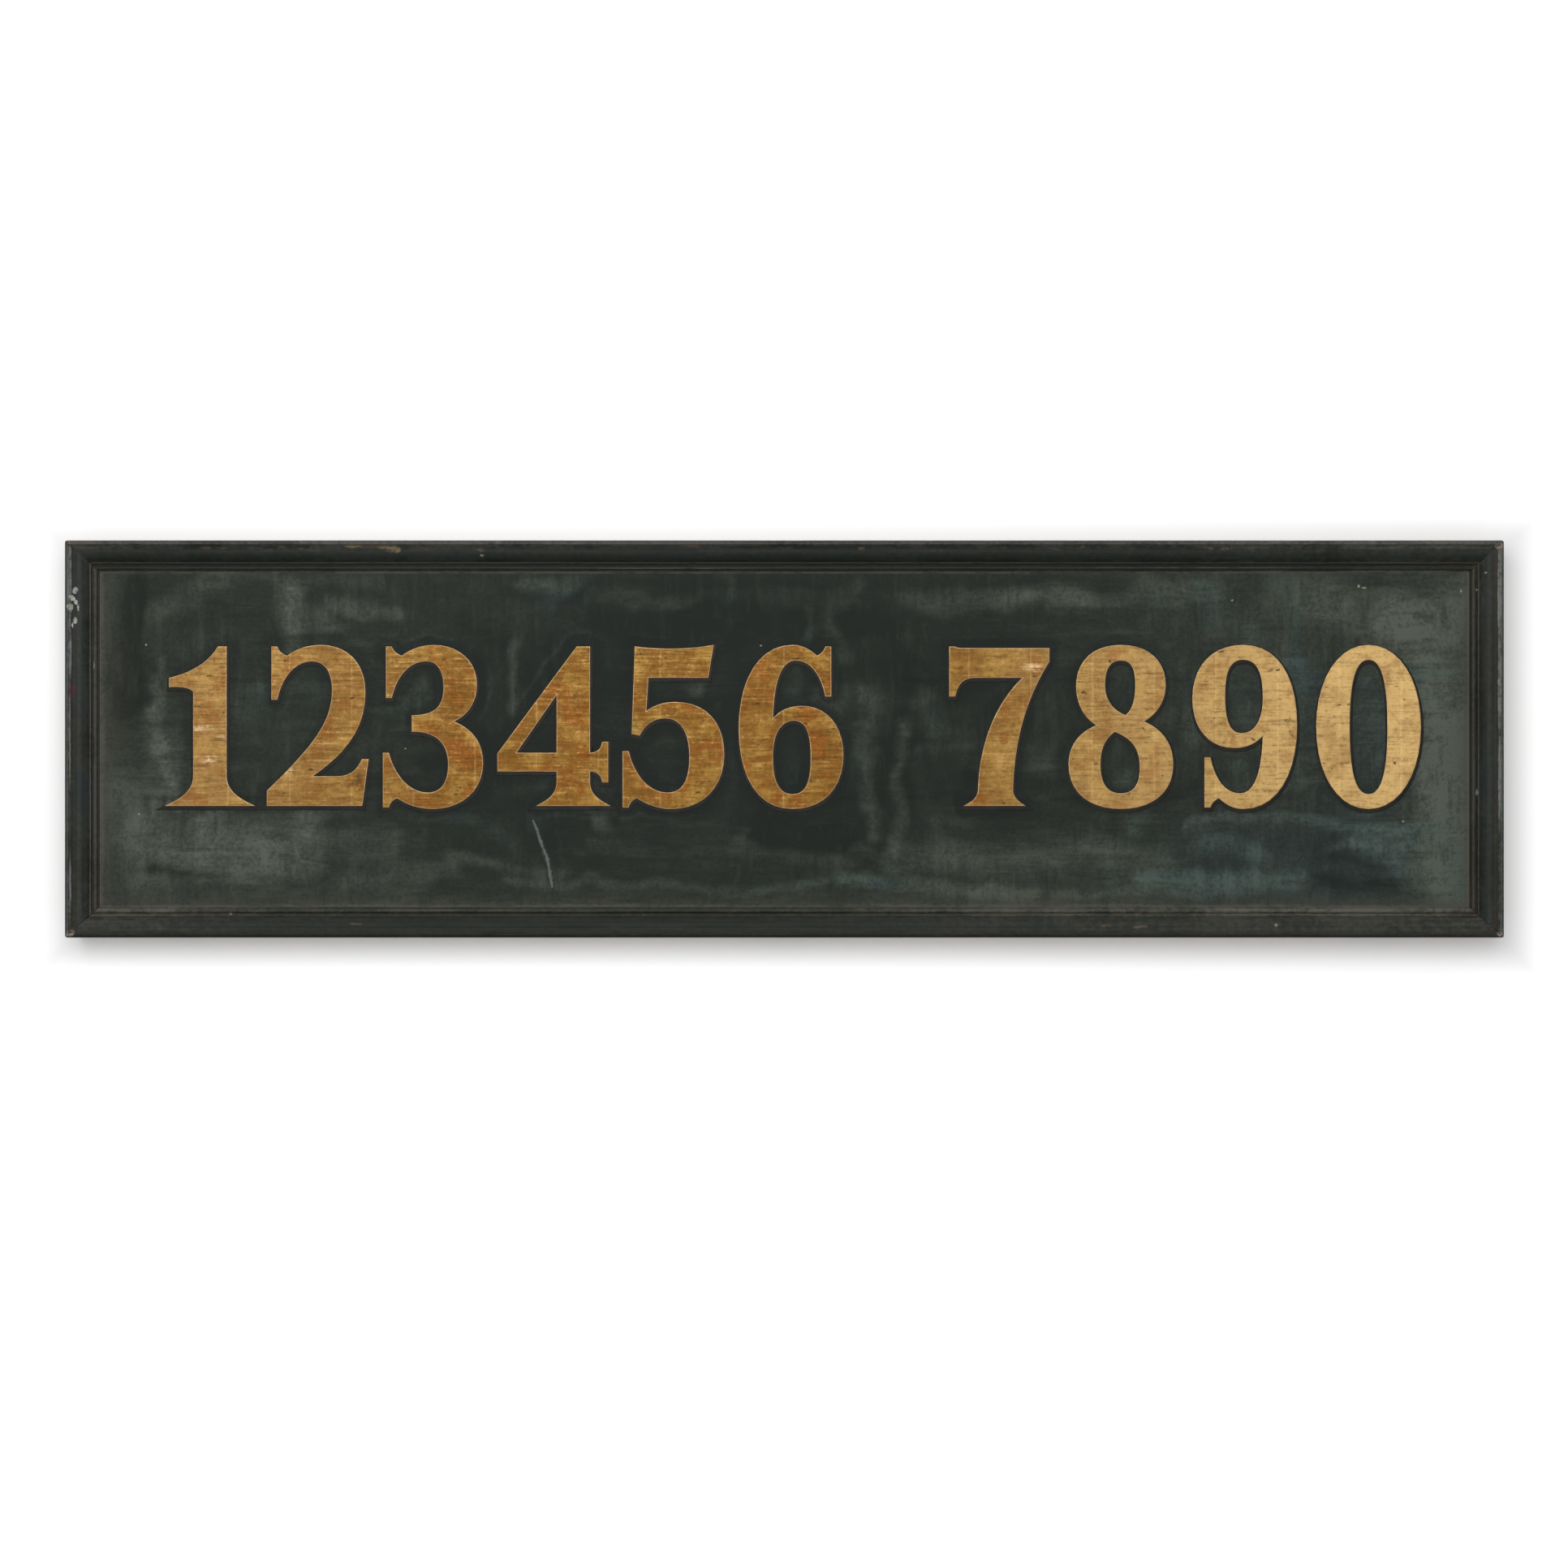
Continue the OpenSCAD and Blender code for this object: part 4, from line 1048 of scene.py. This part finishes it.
def makeGround(edges):
    halfX, halfZ = sightX + ground["underFrame"], sightZ + ground["underFrame"]
    nx, nz = int(2 * halfX / ground["step"]) + 1, int(2 * halfZ / ground["step"]) + 1
    xs, zs = np.linspace(-halfX, halfX, nx), np.linspace(-halfZ, halfZ, nz)
    x, z = (g.ravel() for g in np.meshgrid(xs, zs, indexing="ij"))
    y = np.full_like(x, signSize["panelFront"] - ground["standOff"])
    faces = [(i * nz + j, (i + 1) * nz + j, (i + 1) * nz + j + 1, i * nz + j + 1)
             for i in range(nx - 1) for j in range(nz - 1)]
    piece = newObject("paintedGround", np.c_[x, y, z], faces, makeGroundPaint())
    shadeSmooth(piece, ground["smoothBelow"])

    def cloud(name, stretch=1.0):
        return clouds(x * stretch, z, *ground["clouds"][name])

    # how far each point is from a numeral; the margin is uneven, wide in places and gone in others
    tree = KDTree(len(edges))
    for i, (edgeX, edgeZ) in enumerate(edges):
        tree.insert((edgeX, 0, edgeZ), i)
    tree.balance()
    away = np.array([tree.find((a, 0, b))[2] for a, b in zip(x, z)])
    wanders, wandersFine = ground["haloUneven"]
    reach = ground["haloWidth"] * (1.0 + wanders * cloud("margin")) + wandersFine * cloud("marginFine")
    reach *= 1 - ramps(x, z, ground["haloThins"])
    halo = 1 - smooth(*ground["haloFade"], away - reach)
    halo *= 1 - ramps(x, z, ground["haloRamps"])
    rimOut, rimWidth = ground["haloRim"]
    haloRim = np.exp(-(((away - reach - rimOut) / rimWidth) ** 2))
    haloRim = haloRim * smooth(*ground["haloRimBreaks"], cloud("rimBreaks"))
    # wipes, some placed and some stray, over a faint cloudy bloom
    warpX, warpZ = (cloud(name) * far for name, far in zip(("warpX", "warpZ"), ground["warp"]))
    ragged = ground["wipeRagged"] * cloud("wipeEdge")
    mottled = 1.0 + ground["wipeMottled"] * cloud("wipeFine")
    bloom = 0.008 + 0.42 * np.clip(cloud("broad") - 0.02, 0, 1)
    bloom += 0.30 * np.clip(cloud("level", ground["levelStretch"]) - 0.05, 0, 1)
    blue = 0.10 + 0.9 * np.clip(cloud("blue"), -0.1, 1) + ramps(x, z, ground["blueRamps"])
    for line, width, strength, tint in ground["wipes"] + makeStrayWipes(halfX, halfZ):
        points = [(a / 1000, b / 1000) for a, b in line]
        near = lineDistance(x + warpX, z + warpZ, points) / (width / 1000)
        soft = (1 - smooth(*ground["wipeSoft"], near + ragged)) * mottled
        bloom += soft * strength * (ground["wipeLift"] if strength > 0 else 1.0)
        blue += soft * (tint - ground["plainBlue"]) * ground["wipeBlue"]
    # dust lies along the moulding, most of it down the right side
    inward = {"left": halfX + x, "right": halfX - x, "foot": halfZ + z}
    side = np.minimum(halfX - np.abs(x), halfZ - np.abs(z) + smooth(0, 0.1, z) * 0.02)
    uneven = cloud("drift")
    least, more, much = ground["edgeDust"]
    dusty = np.exp(-side / (least + more * (uneven + 0.5))) * much
    for edge, (drift, most, spread) in ground["drifts"].items():
        dusty = np.maximum(dusty, np.exp(-inward[edge] / drift) * (most + spread * uneven))
    # the whole ground is paler towards its ends, its foot and a few broad places
    base = 0.004 + ramps(x, z, ground["bloomRamps"])
    for middleX, middleZ, reachX, reachZ, amount in ground["paler"]:
        base += amount * np.exp(-((x * 1000 - middleX) / reachX) ** 2 - ((z * 1000 - middleZ) / reachZ) ** 2)
    bloom = base + 0.08 * cloud("fine") + ground["evenness"] * bloom
    bloom = np.minimum(bloom, 0.55 + 0.45 * bloom) * (1 - ground["haloHides"] * halo)
    bloom = bloom + haloRim * ground["haloRimBloom"]
    much, more, rightReach = ground["rightBloom"]
    bloom += (much + more * smooth(-0.06, 0.05, z)) * np.exp(-inward["right"] / rightReach)
    much, footReach = ground["footBloom"]
    bloom += much * np.exp(-inward["foot"] / footReach)
    blue += haloRim * ground["haloRimBlue"]
    jointZ = (signSize["halfHeight"] - ground["boardEdge"]) / 3
    joint = np.exp(-(np.minimum(np.abs(z - jointZ), np.abs(z + jointZ)) / ground["jointWidth"]) ** 2)
    layers = {"bloom": np.clip(bloom, 0, 1), "blue": np.clip(blue, 0, ground["mostBlue"]), "halo": halo,
              "dust": np.clip(dusty, 0, 1), "boardJoint": joint}
    for name, values in layers.items():
        setAttribute(piece, name, values)
    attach(piece, "root")
    print("painted ground made:", nx * nz, "points")


# A long pale scrape below the fourth numeral, where something has rubbed through the paint, in millimetres.
scrape = {
    "line": [(-322, -103), (-317.4, -114), (-313, -128), (-308.4, -140), (-304, -153), (-301.7, -162),
             (-300, -171), (-298, -184), (-297, -190)],
    "widths": [1.6, 2.8, 3.1, 3.2, 4.2, 2.9, 4.6, 4.1, 1.4],
    "colour": (0.135, 0.145, 0.128),
    "edge": (0.026, 0.031, 0.027),
    "roughness": 0.75,
    "gloss": 0.2,
    "standOff": 0.00045,
    "stations": 60,
    "uneven": (0.75, 1.25),
    "farSide": (0.8, 1.3),  # how much wider or narrower its right half is
    "seed": 4,
}


def makeScrape():
    paint = Paint("scraped paint")
    rubbed = paint.grain(0.005, 4, 0.65, scale=(1, 1, 0.4)) + paint.painted("middle") * 0.55
    paint.colour = rubbed.span(0.6, 1.04).blend(scrape["edge"], scrape["colour"])
    maker = np.random.default_rng(scrape["seed"])
    y = signSize["panelFront"] - scrape["standOff"]
    vertices, faces = [], []
    widths = np.array(scrape["widths"]) / 1000
    xs, zs = (np.array(c) / 1000 for c in zip(*scrape["line"]))
    corners = range(len(xs))
    for k, t in enumerate(np.linspace(0, len(xs) - 1, scrape["stations"])):
        x, z, width = (np.interp(t, corners, values) for values in (xs, zs, widths))
        width *= maker.uniform(*scrape["uneven"])
        vertices += [(x - width, y, z), (x, y, z), (x + width * maker.uniform(*scrape["farSide"]), y, z)]
        if k:
            faces += [(3 * k - 3 + i, 3 * k - 2 + i, 3 * k + 1 + i, 3 * k + i) for i in (0, 1)]
    finish = paint.finish(scrape["roughness"], scrape["gloss"])
    piece = newObject("groundScrape", vertices, faces, finish)
    setAttribute(piece, "middle", [0, 1, 0] * scrape["stations"])
    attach(piece, "root")
    print("scrape made")


# Bare pine for the boards' backs and the battens, browned by age. Each piece is a slice through growth
# rings round a heart line: where the heart lies across the grain, how far off it is, and how it leans.
# The last number is how pale the piece is.
bareWood = {
    "pale": (0.33, 0.22, 0.125),
    "dark": (0.14, 0.08, 0.04),
    "grey": (0.15, 0.125, 0.098),
    "stain": (0.07, 0.048, 0.03),
    "gap": (0.016, 0.011, 0.007),
    "ring": 0.0048,
    "pieces": {
        "board_top": (0.165, 0.04, 1.1, 1.05),
        "board_middle": (-0.015, 0.052, -1.4, 0.9),
        "board_bottom": (-0.14, 0.034, 1.3, 0.98),
        "batten_left": (-0.77, 0.03, 1.6, 1.1),
        "batten_middle": (0.01, 0.022, -1.9, 0.96),
        "batten_right": (0.772, 0.026, 1.4, 1.04),
    },
    "knots": [
        (-520, 118, 10, 7), (-235, -34, 7, 5), (332, 160, 9, 6), (598, -22, 12, 8), (-664, -150, 8, 6),
        (126, -172, 9, 6), (-118, 186, 5, 4), (421, -118, 6, 5),
    ],
    "jointHeight": 0.0752,
    "roughness": (0.62, 0.85),
    "gloss": 0.25,
    "relief": 0.0004,
}


def makeBareWood(name, upright):
    look = bareWood
    heart, depth, lean, tone = look["pieces"][name]
    paint = Paint("bare pine " + name)
    shift = (-heart, depth, 0) if upright else (0, depth, -heart)
    turn = (math.radians(lean), 0, 0) if upright else (0, 0, math.radians(lean))
    waves = {"Vector": paint.place(shift=shift, turn=turn), "Scale": 2 * math.pi / (20 * look["ring"]),
             "Distortion": 9.0, "Detail": 3.0, "Detail Scale": 0.05}
    rings = paint.add("ShaderNodeTexWave", waves, "Fac", wave_type="RINGS", wave_profile="SAW",
                      rings_direction="Z" if upright else "X")
    alongGrain = (1, 1, 0.05) if upright else (0.05, 1, 1)
    fibres = paint.grain(0.0016, 5, 0.65, scale=alongGrain, shift=(heart, 0, 0))
    patches = paint.grain(0.13, 5, 0.6, shift=(heart * 9, 0, 0))
    blotches = paint.grain(0.05, 5, 0.65, shift=(2, heart * 7, 4))
    pale, dark = (tuple(v * tone for v in look[k]) for k in ("pale", "dark"))
    late = rings.span(0.45, 1.0, 0, 0.85)
    paint.colour = late.blend(pale, dark)
    paint.coat(fibres.span(0.35, 0.7, 0, 0.55), dark)
    paint.coat(patches.span(0.42, 0.66, 0, 0.6), look["grey"])
    paint.coat(blotches.span(0.6, 0.72, 0, 0.55), look["stain"])
    if not upright:
        # knots, the joints between the boards, and dirt with painted shade beside the battens
        knot = paint.near(look["knots"], 0.0012, 0.008)
        paint.coat(knot.span(0.9, 2.4, 0.45, 0), dark)
        paint.coat(knot.span(0.55, 1.05, 0.9, 0), look["stain"])
        joint = abs(abs(paint.along(2)) - look["jointHeight"])
        paint.coat(joint.span(0.0004, 0.0014, 0.9, 0), look["gap"])
        # dirt and painted shade darken the boards beside each batten
        for batten in ("batten_left", "batten_middle", "batten_right"):
            low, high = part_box(batten)
            away = abs(paint.along(0) - (low[0] + high[0]) / 2) - (high[0] - low[0]) / 2
            paint.coat(away.span(0.0, 0.01, 0.55, 0), look["stain"])
    rough = fibres.span(0.3, 0.7, *look["roughness"])
    return paint.finish(rough, look["gloss"], fibres * 0.7 + late * -0.3, look["relief"])


metals = {
    "screw": {"base": (0.24, 0.23, 0.21), "rust": (0.09, 0.045, 0.022), "rusted": (0.46, 0.62),
              "roughness": (0.44, 0.66), "gloss": 0.5, "relief": 0.00012},
    "nail": {"base": (0.03, 0.03, 0.028), "rust": (0.06, 0.035, 0.022), "rusted": (0.4, 0.6),
             "roughness": (0.55, 0.8), "gloss": 0.5, "relief": 0.00012},
    "hanger": {"base": (0.25, 0.24, 0.22), "rust": (0.12, 0.06, 0.03), "rusted": (0.5, 0.68),
               "roughness": (0.46, 0.66), "gloss": 0.5, "relief": 0.00012},
}


def makeMetal(name, look):
    paint = Paint(name)
    broad = paint.grain(0.012, 5, 0.6)
    fine = paint.grain(0.0008, 4, 0.6, scale=(1, 1, 0.2))
    rust = (broad * 0.8 + fine * 0.2).span(*look["rusted"])
    paint.colour = rust.blend(look["base"], look["rust"])
    rough = (rust + fine).span(0.3, 1.3, *look["roughness"])
    return paint.finish(rough, look["gloss"], fine * 0.4 + rust, look["relief"], 1.0 - rust * 0.9)


def finishCadPieces():
    screw, nail, hanger = (makeMetal(k + " metal", metals[k]) for k in ("screw", "nail", "hanger"))
    looks = {name: makeBareWood(name, name.startswith("batten")) for name in bareWood["pieces"]}
    looks.update(batten_screws=screw, hanger_screws=screw, corner_nails=nail, keyhole_hanger_left=hanger,
                 keyhole_hanger_right=hanger)
    for name, look in looks.items():
        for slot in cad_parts[name].material_slots:
            slot.material = look
    print("bare wood and metal finished")


# A pale wall that only the camera sees, and only from the front, so the back stays lit and open to view.
# The lamps shade it, and its glow is painted lower round the sign: a painted shadow, which falls a little to
# the right and down.
studio = {
    "wallColour": 0.93,
    "wallGlow": 0.14,
    "wallGlowFar": 0.55,
    "wallGlowReach": 0.08,
    "wallReach": 4.0,
    "wallBehind": 0.0004,
    "shadowReach": (0.014, 0.0),
    "shadowShift": (0.003, -0.008),
    "floor": -1.10,
    "floorReach": 7,
    "floorColour": 0.50,
    "floorGlow": 0.32,
    "world": 0.40,
    "shine": 0.35,
    "key": {"at": (-0.43, -2.9, 0.82), "size": (2.4, 1.9), "power": 56.5},
    "back": {"at": (0.6, 2.9, 1.65), "size": (2.4, 1.9), "power": 76},
    "camera": {"at": (-0.0005, -2.657, -0.0572), "lens": 47.03, "sensor": 36, "farthest": 30},
}


# A flat matte sheet with a glow that only the camera sees.
def makeSheet(paint, corners, grey, glow, oneSided=False):
    strength = paint.add("ShaderNodeLightPath", output="Is Camera Ray") * glow
    matte = paint.add("ShaderNodeBsdfDiffuse", {"Color": (grey,) * 3})
    glowing = paint.add("ShaderNodeEmission", {"Strength": strength})
    surface = paint.add("ShaderNodeAddShader", {0: matte, 1: glowing})
    if oneSided:
        behind = paint.add("ShaderNodeNewGeometry", output="Backfacing")
        clear = paint.add("ShaderNodeBsdfTransparent")
        surface = paint.add("ShaderNodeMixShader", {0: behind, 1: surface, 2: clear})
    paint.add("ShaderNodeOutputMaterial", {"Surface": surface})
    return newObject(paint.material.name, corners, [(0, 1, 2, 3)], paint.material)


def makeStage():
    scene = bpy.context.scene
    paint = Paint("wall")
    # painted shadow: the wall's glow is lower near the sign, shifted a little right and down
    away = [abs(paint.along(axis) - shift) - (signSize[half] + reach) for axis, shift, half, reach in
            zip((0, 2), studio["shadowShift"], ("halfWidth", "halfHeight"), studio["shadowReach"])]
    glow = away[0].maths("MAXIMUM", away[1])
    glow = glow.span(0.0, studio["wallGlowReach"], studio["wallGlow"], studio["wallGlowFar"])
    low, reach, y = studio["floor"], studio["wallReach"], studio["wallBehind"]
    corners = [(-reach, y, low), (reach, y, low), (reach, y, reach), (-reach, y, reach)]
    wall = makeSheet(paint, corners, studio["wallColour"], glow, True)
    wall.visible_diffuse = wall.visible_glossy = wall.visible_shadow = wall.visible_transmission = False
    reach = studio["floorReach"]
    corners = [(-reach, -reach, low), (reach, -reach, low), (reach, reach, low), (-reach, reach, low)]
    floor = makeSheet(Paint("floor"), corners, studio["floorColour"], studio["floorGlow"])

    # seen straight or mirrored the surroundings are white, and they light the sign less than that
    scene.world = bpy.data.worlds.new("studio")
    tree = emptyTree(scene.world)
    straight, glossy, through = (addNode(tree, "ShaderNodeLightPath", output="Is " + ray + " Ray")
                                 for ray in ("Camera", "Glossy", "Transmission"))
    seen = straight.maths("MAXIMUM", glossy.maths("MAXIMUM", through))
    sky = {"Strength": seen * (1 - studio["world"]) + studio["world"]}
    addNode(tree, "ShaderNodeOutputWorld", {"Surface": addNode(tree, "ShaderNodeBackground", sky)})

    for name in ("key", "back"):
        setting = studio[name]
        lamp = bpy.data.lights.new(name, "AREA")
        lamp.shape = "RECTANGLE"
        lamp.size, lamp.size_y = setting["size"]
        lamp.energy = setting["power"]
        lamp.specular_factor = studio["shine"]
        holder = addToScene(name, lamp)
        holder.location = setting["at"]
        holder.rotation_euler = (-Vector(setting["at"])).to_track_quat("-Z", "Y").to_euler()

    camera = bpy.data.cameras.new("camera")
    camera.lens = studio["camera"]["lens"]
    camera.sensor_width = studio["camera"]["sensor"]
    camera.clip_end = studio["camera"]["farthest"]
    eye = addToScene("camera", camera)
    eye.location = studio["camera"]["at"]
    eye.rotation_euler = (math.radians(90), 0, 0)
    scene.camera = eye
    scene.view_settings.view_transform = "Standard"
    print("stage, lamps and camera placed")


makeStage()
makeFrame()
numeralEdges = makeNumerals()
makeGround(numeralEdges)
makeScrape()
finishCadPieces()
